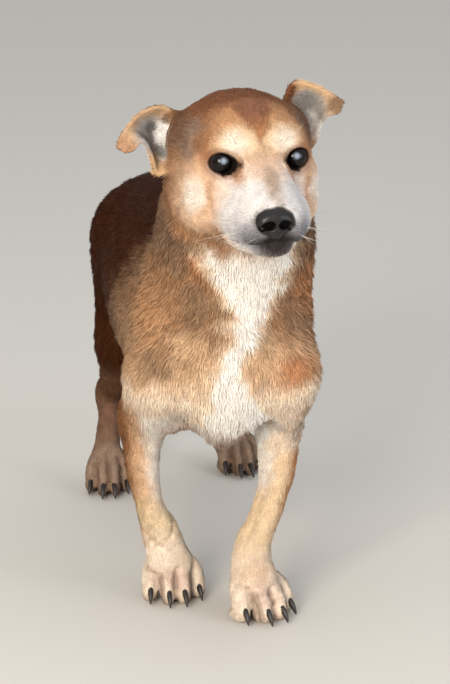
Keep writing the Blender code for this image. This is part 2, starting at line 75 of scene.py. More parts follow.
BODY = place((-0.0034, -0.0020, 0))
HEAD = place((0.0088, -0.1490, 0.3720), yaw=5.5, pitch=1, roll=1)
PAWS = {
    # name: place on the floor, width against a front paw, length of the toes
    "fore_right": (place((-0.0412, -0.1085, 0), yaw=2), 0.94, 0.70),
    "fore_left": (place((0.0204, -0.1580, 0), yaw=23), 1.00, 0.72),
    "hind_right": (place((-0.0619, 0.1590, 0), yaw=-6), 0.78, 0.78),
    "hind_left": (place((0.0636, 0.1950, 0), yaw=6), 0.78, 0.78),
}
TOES = (-1.5, -0.5, 0.5, 1.5)
EYE_AT = (0.0279, -0.0420, 0.0025)
EYE_RADIUS = 0.0115
LID_RADIUS = 0.0136
LID_SLIT_AT, LID_SLIT, LID_TURN = (0.0304, -0.0570, 0.0025), (0.0126, 0.0110, 0.0092), (0, -8, 24)
NOSE_AT = (-0.0002, -0.0985, -0.0298)


def at(frame, point):
    """A local point's place in the world."""
    return np.array(frame @ Vector(point))


def smooth_min(a, b, k):
    """Union of two distances with a fillet about k wide: the smaller one, less a quadratic."""
    h = np.maximum(k - np.abs(a - b), 0.0) / k
    return np.minimum(a, b) - h * h * (k * 0.25)


def ball_distance(p, mass):
    """Distance to an ellipsoid: its unit radius less one, over the slope of that radius."""
    centre, radii, axes = mass
    d = [p[i] - centre[i] for i in range(3)]
    q = [axes[i][0] * d[0] + axes[i][1] * d[1] + axes[i][2] * d[2] for i in range(3)]
    near = np.sqrt(sum((q[i] / radii[i]) ** 2 for i in range(3)))
    slope = np.sqrt(sum((q[i] / radii[i] ** 2) ** 2 for i in range(3))) + 1e-6
    return near * (near - 1) / slope


def bone_distance(p, a, b, ra, rb, side):
    """Distance to a tapered oval tube from a to b, worked out as for the ellipsoid."""
    length = np.linalg.norm(b - a)
    axis = (b - a) / length
    u = side - axis * (side @ axis)
    u /= np.linalg.norm(u)
    w = np.cross(axis, u)
    d = [p[i] - a[i] for i in range(3)]
    along, across, deep = (d[0] * v[0] + d[1] * v[1] + d[2] * v[2] for v in (axis, u, w))
    t = np.clip(along / length, 0, 1)
    past = along - t * length
    ru = ra[0] + (rb[0] - ra[0]) * t
    rw = ra[1] + (rb[1] - ra[1]) * t
    rm2 = ru * rw
    near = np.sqrt((across / ru) ** 2 + (deep / rw) ** 2 + past ** 2 / rm2)
    slope = np.sqrt((across / ru ** 2) ** 2 + (deep / rw ** 2) ** 2 + past ** 2 / rm2 ** 2)
    return near * (near - 1) / (slope + 1e-6)


def spline(rows, steps):
    """Rows of numbers read smoothly at `steps` places between each pair (Catmull-Rom)."""
    n = np.asarray(rows, float)
    p = np.vstack([2 * n[0] - n[1], n, 2 * n[-1] - n[-2]])
    t = (np.arange(steps) / steps)[:, None]
    out = []
    for a, b, c, d in zip(p[:-3], p[1:-2], p[2:-1], p[3:]):
        bend = (2 * a - 5 * b + 4 * c - d) * t ** 2 + (3 * b - a - 3 * c + d) * t ** 3
        out.append(0.5 * (2 * b + (c - a) * t + bend))
    out.append(p[-2][None])
    return np.vstack(out)


class Masses(list):
    """The rounded masses of a dog, each (kind, data, fillet, is_cut)."""

    def ball(self, frame, centre, radii, fillet, turn=(0, 0, 0), cut=False, both=False):
        """An ellipsoid, turned in degrees; both adds its mirror image over the frame's X."""
        for s in (1, -1) if both else (1,):
            c = at(frame, (centre[0] * s, centre[1], centre[2]))
            e = Euler([math.radians(a) for a in (turn[0], turn[1] * s, turn[2] * s)])
            axes = np.array(frame.to_3x3() @ e.to_matrix()).T
            self.append(("ball", (c, radii, axes), fillet, cut))

    def limb(self, frame, rows, fillet, steps=5, both=False, cut=False):
        """A chain of tubes through rows of x, y, z, half width, half depth."""
        for s in (1, -1) if both else (1,):
            fine = spline([(r[0] * s, *r[1:]) for r in rows], steps)
            points = np.array([at(frame, r[:3]) for r in fine])
            side = np.array(frame.to_3x3() @ Vector((1, 0, 0)))
            self.append(("limb", (points, fine[:, 3:5], side), fillet, cut))

    def ear(self, frame, s, rows, half=0.0016, fillet=0.007):
        """A cupped flap: rows of front edge, back edge and how far the middle sits back."""
        front = spline([r[0] for r in rows], 6)
        back = spline([r[1] for r in rows], 6)
        cup = spline([(r[2],) for r in rows], 6)
        t = np.linspace(0, 1, 17)
        sheet = front[:, None] * (1 - t)[None, :, None] + back[:, None] * t[None, :, None]
        sheet[..., 1] += cup * (4 * t * (1 - t))[None]
        sheet[..., 0] *= s
        turn = np.array(frame)
        sheet = sheet @ turn[:3, :3].T + turn[:3, 3]
        self.append(("ear", (sheet, half), fillet, False))


def trunk(m):
    """Chest to rump as one tube, breast, brisket and armpit, then the tail and the neck."""
    m.limb(BODY, [(0, -0.128, 0.204, 0.050, 0.057), (0, -0.100, 0.213, 0.059, 0.068),
                  (0, -0.055, 0.215, 0.069, 0.079), (0, 0.000, 0.218, 0.0745, 0.077),
                  (0, 0.045, 0.229, 0.0735, 0.070), (0, 0.090, 0.240, 0.0700, 0.062),
                  (0, 0.135, 0.245, 0.062, 0.056), (0, 0.165, 0.246, 0.049, 0.046)], 0.010)
    m.ball(BODY, (0, -0.164, 0.196), (0.038, 0.020, 0.040), 0.025)
    m.ball(BODY, (-0.003, -0.130, 0.158), (0.017, 0.034, 0.0225), 0.020)
    m.ball(BODY, (-0.038, -0.110, 0.160), (0.016, 0.024, 0.018), 0.022)
    m.limb(BODY, [(0.000, 0.186, 0.268, 0.0150, 0.0150), (0.003, 0.212, 0.248, 0.0125, 0.0125),
                  (0.009, 0.232, 0.208, 0.0105, 0.0105), (0.016, 0.240, 0.165, 0.0085, 0.0085),
                  (0.022, 0.252, 0.128, 0.0055, 0.0055)], 0.020)
    m.limb(BODY, [(0.0075, -0.078, 0.236, 0.060, 0.066), (0.0120, -0.100, 0.272, 0.0640, 0.0610),
                  (0.0115, -0.118, 0.308, 0.0615, 0.0540),
                  (0.0085, -0.126, 0.343, 0.0510, 0.0450)], 0.024)


FOREARMS = (
    # right, then left, from elbow to paw: middle line, half width and half depth
    [(-0.0585, -0.092, 0.150, 0.0170, 0.0220), (-0.0600, -0.098, 0.113, 0.0136, 0.0175),
     (-0.0585, -0.104, 0.096, 0.0113, 0.0145), (-0.0545, -0.107, 0.076, 0.0110, 0.0125),
     (-0.0475, -0.107, 0.057, 0.0146, 0.0135), (-0.0430, -0.110, 0.042, 0.0155, 0.0125),
     (-0.0400, -0.114, 0.027, 0.0190, 0.0115)],
    [(0.0470, -0.120, 0.152, 0.0168, 0.0220), (0.0425, -0.137, 0.118, 0.0146, 0.0175),
     (0.0385, -0.145, 0.103, 0.0120, 0.0150), (0.0330, -0.151, 0.0875, 0.0118, 0.0130),
     (0.0258, -0.156, 0.073, 0.0118, 0.0125), (0.0195, -0.159, 0.060, 0.0138, 0.0135),
     (0.0182, -0.161, 0.043, 0.0160, 0.0125), (0.0205, -0.164, 0.028, 0.0185, 0.0115)],
)


def forelegs(m):
    """Shoulders, upper arms, elbows and forearms, the last by the rows of FOREARMS."""
    # shoulder blade, upper arm and elbow of each side; the left leg stands further forward
    m.limb(BODY, [(-0.0250, -0.066, 0.270, 0.014, 0.026), (-0.0440, -0.100, 0.234, 0.020, 0.036),
                  (-0.0515, -0.138, 0.196, 0.0215, 0.030)], 0.020)
    m.limb(BODY, [(0.0330, -0.070, 0.270, 0.016, 0.026), (0.0490, -0.108, 0.234, 0.020, 0.036),
                  (0.0490, -0.150, 0.196, 0.0215, 0.030)], 0.020)
    m.limb(BODY, [(-0.0540, -0.138, 0.196, 0.0215, 0.028), (-0.0575, -0.114, 0.170, 0.0195, 0.028),
                  (-0.0585, -0.088, 0.148, 0.0160, 0.021)], 0.020)
    m.limb(BODY, [(0.0480, -0.150, 0.196, 0.0210, 0.028), (0.0480, -0.136, 0.170, 0.0180, 0.028),
                  (0.0465, -0.118, 0.150, 0.0155, 0.021)], 0.020)
    m.ball(BODY, (-0.0590, -0.078, 0.150), (0.012, 0.015, 0.015), 0.015)
    m.ball(BODY, (0.0480, -0.106, 0.154), (0.012, 0.015, 0.015), 0.015)
    # forearm, wrist and pastern
    for rows in FOREARMS:
        m.limb(BODY, rows, 0.014)


def hind_legs(m):
    """Thigh, shank, point of the hock and metatarsus of each side."""
    for s, back in ((-1, 0.0), (1, 0.034)):     # the left leg stands further back
        stifle_y = 0.104 + back * 0.3
        m.limb(BODY, [(s * 0.039, 0.140, 0.240, 0.034, 0.050),
                      (s * 0.046, 0.122 + back * 0.15, 0.195, 0.027, 0.044),
                      (s * 0.053, stifle_y, 0.155, 0.0185, 0.028)], 0.025)
        m.limb(BODY, [(s * 0.053, stifle_y, 0.158, 0.0180, 0.026),
                      (s * 0.052, 0.142 + back * 0.6, 0.122, 0.0145, 0.0225),
                      (s * 0.0525, 0.180 + back * 0.9, 0.092, 0.0100, 0.0135),
                      (s * 0.0535, 0.194 + back, 0.080, 0.0100, 0.0125)], 0.018)
        m.ball(BODY, (s * 0.0530, 0.204 + back, 0.089), (0.0070, 0.0080, 0.0110), 0.010)
        m.limb(BODY, [(s * 0.0535, 0.191 + back, 0.082, 0.0100, 0.0130),
                      (s * 0.0550, 0.183 + back, 0.058, 0.0100, 0.0115),
                      (s * 0.058, 0.173 + back, 0.036, 0.0115, 0.0115),
                      (s * 0.059, 0.164 + back, 0.025, 0.0140, 0.0110)], 0.012)


def toe_tip(width, length, toe):
    """The local X and Y of a toe's tip."""
    outer = abs(toe) > 1
    return toe * 0.0132 * width * (1.04 if outer else 1.0), (-0.0130 if outer else -0.0285) * length


def paws(m):
    """Four toes with their pads, a heel pad and an instep on each foot."""
    for frame, w, length in PAWS.values():
        for toe in TOES:
            x, y = toe_tip(w, length, toe)
            knuckle_y = (-0.004 if abs(toe) > 1 else -0.0165) * length
            m.limb(frame, [(toe * 0.0080 * w, 0.008, 0.0270, 0.0080 * w, 0.0085),
                           (toe * 0.0122 * w, knuckle_y, 0.0205, 0.0076 * w, 0.0082),
                           (x, y, 0.0085, 0.0072 * w, 0.0080)], 0.005, steps=2)
            m.ball(frame, (x * 0.97, y + 0.006, 0.0050), (0.0066 * w, 0.0100, 0.0062), 0.004)
        m.ball(frame, (0, 0.008, 0.0075), (0.0150 * w, 0.0120, 0.0085), 0.006)
        m.ball(frame, (0, 0.000, 0.0200), (0.0195 * w, 0.0150, 0.0100), 0.008)


def head(m):
    """Skull, cheeks and brows, then muzzle, lids and ears."""
    m.ball(HEAD, (0, 0.004, 0.0095), (0.0475, 0.052, 0.0365), 0.020)
    m.ball(HEAD, (0, -0.022, 0.0000), (0.0400, 0.033, 0.0325), 0.020)
    m.ball(HEAD, (0.0275, -0.002, -0.0280), (0.0245, 0.037, 0.0340), 0.018, both=True)
    m.ball(HEAD, (0.0330, -0.027, -0.0145), (0.0160, 0.019, 0.0125), 0.012, both=True)
    m.ball(HEAD, (0.0300, -0.024, -0.0370), (0.0200, 0.022, 0.0170), 0.012, both=True)
    m.ball(HEAD, (0.0200, -0.0375, 0.0165), (0.0160, 0.0110, 0.0090), 0.014, (0, 12, 0), both=True)
    # bridge, flews and chin
    m.limb(HEAD, [(0, -0.036, -0.0080, 0.0270, 0.0210), (0, -0.064, -0.0170, 0.0225, 0.0185),
                  (0, -0.090, -0.0275, 0.0178, 0.0140)], 0.016)
    m.limb(HEAD, [(0.0195, -0.040, -0.0340, 0.0155, 0.0195), (0.0170, -0.068, -0.0370, 0.0150, 0.0170),
                  (0.0115, -0.088, -0.0385, 0.0135, 0.0140)], 0.008, both=True)
    m.limb(HEAD, [(0, -0.010, -0.0450, 0.0360, 0.0185), (0, -0.050, -0.0545, 0.0245, 0.0115),
                  (0, -0.083, -0.0555, 0.0150, 0.0085)], 0.006)
    # lids, open in front of each eye
    m.ball(HEAD, EYE_AT, (LID_RADIUS,) * 3, 0.004, both=True)
    m.ball(HEAD, LID_SLIT_AT, LID_SLIT, 0.0015, LID_TURN, cut=True, both=True)
    # ears, held out to the sides and open to the front
    m.ball(HEAD, (0.0405, 0.010, 0.008), (0.0140, 0.0180, 0.0200), 0.015, both=True)
    m.ear(HEAD, -1, [((0.0440, 0.004, -0.0060), (0.0390, 0.022, 0.0220), 0.014),
                     ((0.0635, 0.004, -0.0150), (0.0560, 0.021, 0.0325), 0.014),
                     ((0.0680, 0.005, -0.0020), (0.0730, 0.016, 0.0300), 0.009),
                     ((0.0750, 0.003, 0.0115), (0.0860, 0.009, 0.0210), 0.004),
                     ((0.0835, 0.001, 0.0062), (0.0930, 0.005, 0.0128), 0.002),
                     ((0.0888, 0.001, 0.0046), (0.0945, 0.003, 0.0080), 0.0)])
    m.ear(HEAD, 1, [((0.0450, 0.008, -0.0040), (0.0390, 0.026, 0.0260), 0.014),
                    ((0.0570, 0.008, -0.0010), (0.0470, 0.026, 0.0425), 0.013),
                    ((0.0625, 0.009, 0.0100), (0.0590, 0.023, 0.0425), 0.008),
                    ((0.0670, 0.007, 0.0200), (0.0710, 0.016, 0.0370), 0.003),
                    ((0.0765, 0.004, 0.0230), (0.0810, 0.008, 0.0300), 0.0)])


masses = Masses()
for build in (trunk, forelegs, hind_legs, head, paws):
    build(masses)


# ---------------------------------------------------------------- skin
# One closed skin over the whole dog, a coat's depth inside the outline of the fur. It is the
# surface where the masses' distance plus that depth is zero, found on a grid that is finer
# round the head and the paws.

def graded(stretches):
    """Grid lines along one axis, from stretches of (start, end, step)."""
    lines = [np.arange(a, b - step / 2, step) for a, b, step in stretches]
    return np.concatenate(lines + [[stretches[-1][1]]])


COARSE = 1.0
FINE, WIDE = 0.00150 * COARSE, 0.0046 * COARSE
GRID = [
    graded([(-0.108, 0.112, FINE)]),
    graded([(-0.277, -0.100, FINE), (-0.100, 0.273, WIDE)]),
    graded([(-0.006, 0.042, FINE), (0.042, 0.305, WIDE), (0.305, 0.432, FINE)]),
]


def ear_distance(p, data, margin):
    """Distance to a flap of even thickness: how far its middle sheet is, less half of it."""
    sheet, half = data
    rows, columns = sheet.shape[:2]
    n = np.arange(rows * columns).reshape(rows, columns)
    quads = np.stack([n[:-1, :-1], n[1:, :-1], n[1:, 1:], n[:-1, 1:]], -1).reshape(-1, 4)
    tree = BVHTree.FromPolygons(sheet.reshape(-1, 3).tolist(), quads.tolist())
    x, y, z = np.broadcast_arrays(*p)
    found = [tree.find_nearest(q, margin)[3] for q in zip(x.flat, y.flat, z.flat)]
    return np.array([margin if d is None else d for d in found]).reshape(x.shape) - half


def add_mass(field, grid, kind, data, fillet, cut):
    """Melts one mass into the field, within the block of the grid that it can reach."""
    if kind == "ball":
        reach = np.sqrt(((data[2].T * data[1]) ** 2).sum(1))
        low, high = data[0] - reach, data[0] + reach
    elif kind == "limb":
        low, high = (data[0] - data[1].max()).min(0), (data[0] + data[1].max()).max(0)
    else:
        low, high = data[0].reshape(-1, 3).min(0), data[0].reshape(-1, 3).max(0)
    margin = fillet + 0.006
    where = tuple(slice(max(np.searchsorted(g, a - margin) - 1, 0), np.searchsorted(g, b + margin) + 1)
                  for g, a, b in zip(grid, low, high))
    x, y, z = (g[w].astype(np.float32) for g, w in zip(grid, where))
    p = x[:, None, None], y[None, :, None], z[None, None, :]
    if kind == "ball":
        d = ball_distance(p, data)
    elif kind == "limb":
        points, radii, side = data
        d = 1.0
        for i in range(len(points) - 1):
            tube = bone_distance(p, points[i], points[i + 1], radii[i], radii[i + 1], side)
            d = smooth_min(tube, d, 0.003)
    else:
        d = ear_distance(p, data, margin)
    old = field[where]
    field[where] = -smooth_min(-old, d, fillet) if cut else smooth_min(old, d, fillet)


def local(frame, p):
    """World points in a frame's own coordinates; p is three arrays or an (n, 3) array."""
    m = np.array(frame.inverted())
    if isinstance(p, tuple):
        return tuple(m[i, 0] * p[0] + m[i, 1] * p[1] + m[i, 2] * p[2] + m[i, 3] for i in range(3))
    return p @ m[:3, :3].T + m[:3, 3]


def ease(x, a, b):
    """0 below a, 1 above b (or the other way round) and a smooth step between."""
    t = np.clip((x - a) / (b - a), 0, 1)
    return t * t * (3 - 2 * t)


def coat_depth(p):
    """How deep the coat lies at a point: most on the neck and back, least on face and feet."""
    hx, hy, hz = local(HEAD, p)
    on_head = ease(np.sqrt(hx ** 2 + (hy + 0.02) ** 2 + (hz * 1.2) ** 2), 0.120, 0.065)
    muzzle = ease(hy, -0.020, -0.045) * on_head
    low = ease(p[2], 0.165, 0.120)
    depth = 0.0034 + 0.0008 * ease(p[2], 0.24, 0.28)
    depth = depth + (0.0016 - depth) * low
    depth = depth + (0.0009 - depth) * ease(p[2], 0.060, 0.035)
    depth = depth + (0.0018 - depth) * on_head
    depth = depth + (0.0008 - depth) * muzzle
    near_eye = np.sqrt((np.abs(hx) - EYE_AT[0]) ** 2 + (hy - EYE_AT[1]) ** 2 + (hz - EYE_AT[2]) ** 2)
    return depth + (0.0001 - depth) * ease(near_eye, 0.024, 0.015)


def surface(field, grid, band):
    """Points and quads where the field is zero, with the grid's uneven lines put back."""
    volume = openvdb.FloatGrid(background=band)
    volume.copyFromArray(np.clip(field, -band, band).astype(np.float32))
    points, quads = volume.convertToQuads(0.0)
    points = np.stack([np.interp(points[:, i], np.arange(len(g)), g) for i, g in enumerate(grid)], 1)
    return points, quads


def face_normals(points, quads):
    """Each quad's normal, as long as twice its area: the cross product of its diagonals."""
    return np.cross(points[quads[:, 2]] - points[quads[:, 0]], points[quads[:, 3]] - points[quads[:, 1]])


def point_normals(points, quads):
    """Each point's unit normal, the mean of its faces' weighed by area."""
    n = face_normals(points, quads)
    out = np.zeros_like(points)
    for k in range(4):
        np.add.at(out, quads[:, k], n)
    return out / np.maximum(np.linalg.norm(out, axis=1, keepdims=True), 1e-12)


EAR_HAIR = 0.0003
field = np.full([len(g) for g in GRID], 0.02, np.float32)
for mass in masses:
    if mass[0] != "ear":
        add_mass(field, GRID, *mass)
x, y, z = (g.astype(np.float32) for g in GRID)
grid_points = (x[:, None, None], y[None, :, None], z[None, None, :])
field += coat_depth(grid_points)
for kind, data, fillet, cut in masses:
    if kind == "ear":
        add_mass(field, GRID, kind, (data[0], data[1] - EAR_HAIR), fillet, cut)
field = np.maximum(field, 0.0007 - grid_points[2])          # flat soles, just off the floor
skin_points, skin_quads = surface(field, GRID, 0.008)
del field


def on_skin(frame, rows):
    """Local points moved to the skin's nearest places, in the world."""
    return np.array([skin_tree.find_nearest(frame @ Vector(r))[0] for r in rows])


def path_distance(p, path):
    """Distance from points to a line through the path's points, segment by segment."""
    best = np.full(len(p), 1.0)
    for a, b in zip(path[:-1], path[1:]):
        v = b - a
        t = np.clip((p - a) @ v / (v @ v + 1e-12), 0, 1)
        best = np.minimum(best, np.linalg.norm(p - a - t[:, None] * v, axis=1))
    return best


def crease(frame, rows, width, depth, both=False):
    """Sinks the skin along a path: the depth times a bell curve of the distance from it."""
    for s in (1, -1) if both else (1,):
        path = on_skin(frame, spline([(r[0] * s, r[1], r[2]) for r in rows], 5))
        near = np.all((skin_points > path.min(0) - 3 * width) & (skin_points < path.max(0) + 3 * width), 1)
        d = path_distance(skin_points[near], path)
        ends = np.minimum(np.linalg.norm(skin_points[near] - path[0], axis=1),
                          np.linalg.norm(skin_points[near] - path[-1], axis=1))
        sink = depth * np.exp(-(d / width) ** 2) * ease(ends, 0, 2 * width)
        skin_points[near] -= sink[:, None] * skin_normals[near]


skin_normals = point_normals(skin_points, skin_quads)
skin_tree = BVHTree.FromPolygons(skin_points.tolist(), skin_quads.tolist())

# mouth, philtrum and the folds of lids, cheeks and jaw
LIP_LINE = [(0.0015, -0.0990, -0.0530), (0.0120, -0.0950, -0.0545), (0.0205, -0.0800, -0.0535),
            (0.0260, -0.0620, -0.0520), (0.0310, -0.0460, -0.0500)]
crease(HEAD, LIP_LINE, 0.0015, 0.0020, both=True)
crease(HEAD, [(0, -0.1040, -0.0420), (0, -0.1010, -0.0520)], 0.0011, 0.0013)
crease(HEAD, [(0.0455, -0.0405, -0.0135), (0.0405, -0.0450, -0.0250), (0.0380, -0.0465, -0.0345),
              (0.0350, -0.0450, -0.0450)], 0.0038, 0.0013, both=True)
crease(HEAD, [(0.0150, -0.0600, -0.0050), (0.0200, -0.0590, -0.0100), (0.0280, -0.0560, -0.0125),
              (0.0380, -0.0480, -0.0090)], 0.0018, 0.0008, both=True)
crease(HEAD, [(0.0160, -0.0560, 0.0130), (0.0240, -0.0540, 0.0165), (0.0330, -0.0500, 0.0155),
              (0.0410, -0.0430, 0.0090)], 0.0016, 0.0008, both=True)
crease(HEAD, [(0.0155, -0.0600, 0.0040), (0.0125, -0.0635, 0.0005), (0.0110, -0.0655, -0.0030)],
       0.0014, 0.0012, both=True)
crease(HEAD, [(0, -0.0560, 0.0120), (0, -0.0470, 0.0260), (0, -0.0330, 0.0370)], 0.0050, 0.0010)
crease(HEAD, [(0.0540, 0.0150, -0.0300), (0.0510, 0.0000, -0.0520), (0.0440, -0.0090, -0.0630),
              (0.0390, -0.0090, -0.0760)], 0.0050, 0.0022, both=True)
# toes parted, wrist folds and the tendon inside the left foreleg
for paw_frame, w, length in PAWS.values():
    for gap in (-1, 0, 1):
        crease(paw_frame, [(gap * 0.0088 * w, 0.000, 0.0290), (gap * 0.0125 * w, -0.013 * length, 0.0210),
                           (gap * 0.0132 * w, -0.025 * length, 0.0100),
                           (gap * 0.0132 * w, -0.022 * length, 0.0020)], 0.0024, 0.0036)
WRIST_FOLD = [(-0.0610, -0.1080, 0.0640), (-0.0530, -0.1215, 0.0510), (-0.0450, -0.1210, 0.0515),
              (-0.0390, -0.1130, 0.0620), (-0.0380, -0.1080, 0.0760)]
crease(BODY, WRIST_FOLD, 0.0021, 0.0013)
crease(BODY, [(0.0265, -0.1550, 0.1080), (0.0235, -0.1590, 0.0940), (0.0195, -0.1640, 0.0800),
              (0.0115, -0.1670, 0.0660)], 0.0028, 0.0022)


def new_mesh(name, points, faces):
    """A smooth piece from an array of points and one of faces with equal counts of corners."""
    mesh = bpy.data.meshes.new(name)
    mesh.vertices.add(len(points))
    mesh.vertices.foreach_set("co", np.ascontiguousarray(points, np.float32).ravel())
    mesh.loops.add(faces.size)
    mesh.loops.foreach_set("vertex_index", np.ascontiguousarray(faces, np.int32).ravel())
    mesh.polygons.add(len(faces))
    mesh.polygons.foreach_set("loop_start", np.arange(0, faces.size, faces.shape[1], dtype=np.int32))
    mesh.update(calc_edges=True)
    mesh.shade_smooth()
    obj = bpy.data.objects.new(name, mesh)
    bpy.context.collection.objects.link(obj)
    return obj


skin = new_mesh("skin", skin_points, skin_quads)
bpy.context.view_layer.objects.active = skin
skin.select_set(True)
bpy.ops.object.mode_set(mode="EDIT")
bpy.ops.mesh.select_all(action="SELECT")
bpy.ops.uv.smart_project(angle_limit=math.radians(60), island_margin=0.001)
bpy.ops.object.mode_set(mode="OBJECT")
skin.data.uv_layers[0].name = "OFBake"
skin_uv = np.zeros(len(skin.data.loops) * 2, np.float32)
skin.data.uv_layers["OFBake"].uv.foreach_get("vector", skin_uv)
skin_uv = skin_uv.reshape(-1, 4, 2)
skin_normals = point_normals(skin_points, skin_quads)


# ---------------------------------------------------------------- markings
# The coat's colours, the same for the skin and for every tuft: a sable brown body, a tan and
# white face with a brown crown, a white throat and blaze, and cream forelegs. Painted shade darkens
# the back, the underside, the wrist fold, the gaps between the toes, the sides of the muzzle, the
# crease at the right ear's root and the skin seen inside the nostrils.

def linear(hex_colour):
    """An sRGB hex colour as linear red, green and blue."""
    c = np.array([int(hex_colour[i:i + 2], 16) for i in (1, 3, 5)]) / 255
    return np.where(c <= 0.04045, c / 12.92, ((c + 0.055) / 1.055) ** 2.4)


def ripple(p, size, seed):
    """Smooth noise about -1..1 whose bumps are `size` across: a sum of sines in chance ways."""
    rng = np.random.default_rng(seed)
    out = np.zeros(len(p))
    for _ in range(9):
        way = rng.normal(size=3)
        way *= rng.uniform(0.7, 1.4) * math.pi / size / np.linalg.norm(way)
        out += np.sin(p @ way + rng.uniform(0, 2 * math.pi))
    return out / 3


def oval(p, centre, radii, soft=0.3, mirror=True):
    """1 inside an oval patch and 0 outside it, with a soft edge; mirrored over X if asked."""
    q = np.abs(p[:, 0]) if mirror and centre[0] > 0 else p[:, 0]
    d = [(q - centre[0]) / radii[0], (p[:, 1] - centre[1]) / radii[1], (p[:, 2] - centre[2]) / radii[2]]
    return ease(np.sqrt(d[0] ** 2 + d[1] ** 2 + d[2] ** 2), 1 + soft, 1 - soft)


NOSE_CENTRE = np.add(NOSE_AT, (-0.0014, 0, -0.0022))
BLAZE = [
    # height, middle and half width of the white on throat and chest, narrowest at mid chest
    (0.140, 0.008, 0.028), (0.160, 0.009, 0.033), (0.185, 0.000, 0.018), (0.210, -0.005, 0.009),
    (0.230, 0.004, 0.008), (0.260, 0.018, 0.018), (0.305, 0.014, 0.037),
]
SABLE, TAN, ORANGE, CREAM = "#8f7259", "#c1926a", "#c4875c", "#e6bf97"
CHEST_PATCHES = [
    # colour, place across and up, half width, half height
    (SABLE, -0.035, 0.290, 0.011, 0.013), (SABLE, -0.020, 0.255, 0.014, 0.015),
    (SABLE, -0.055, 0.215, 0.010, 0.009), (SABLE, 0.050, 0.250, 0.010, 0.016),
    (TAN, -0.055, 0.245, 0.014, 0.022), (ORANGE, -0.022, 0.290, 0.005, 0.012),
    (ORANGE, 0.065, 0.265, 0.011, 0.020), (ORANGE, 0.050, 0.208, 0.016, 0.008),
    (CREAM, -0.030, 0.230, 0.012, 0.008), (CREAM, 0.025, 0.222, 0.012, 0.012),
]
INSIDE_RIGHT_EAR = [
    # colour, place out from the head and up in metres, half width, half height, strength
    ("#b3b0ad", 0.0650, 0.0140, 0.0150, 0.0130, 0.95), ("#fdfaf6", 0.0540, 0.0080, 0.0065, 0.0150, 0.95),
    ("#84817f", 0.0640, 0.0175, 0.0060, 0.0050, 0.85), ("#77716d", 0.0575, 0.0000, 0.0040, 0.0035, 0.80),
    # the dark brown spot at the root and top of the ear is painted shade in the crease between ear and head
    ("#7a543c", 0.0495, 0.0240, 0.0035, 0.0060, 0.85),
    ("#bd9273", 0.0930, 0.0060, 0.0120, 0.0110, 0.90), ("#dcb68c", 0.0600, -0.0120, 0.0090, 0.0060, 0.90),
]
INSIDE_LEFT_EAR = [
    ("#aaa6a0", 0.0570, 0.0240, 0.0120, 0.0140, 0.95), ("#858280", 0.0555, 0.0295, 0.0080, 0.0060, 0.80),
    ("#fbf3ea", 0.0590, 0.0080, 0.0060, 0.0120, 0.90), ("#8f7058", 0.0790, 0.0280, 0.0090, 0.0080, 0.90),
    ("#e0b98d", 0.0540, 0.0430, 0.0120, 0.0050, 0.90),
]


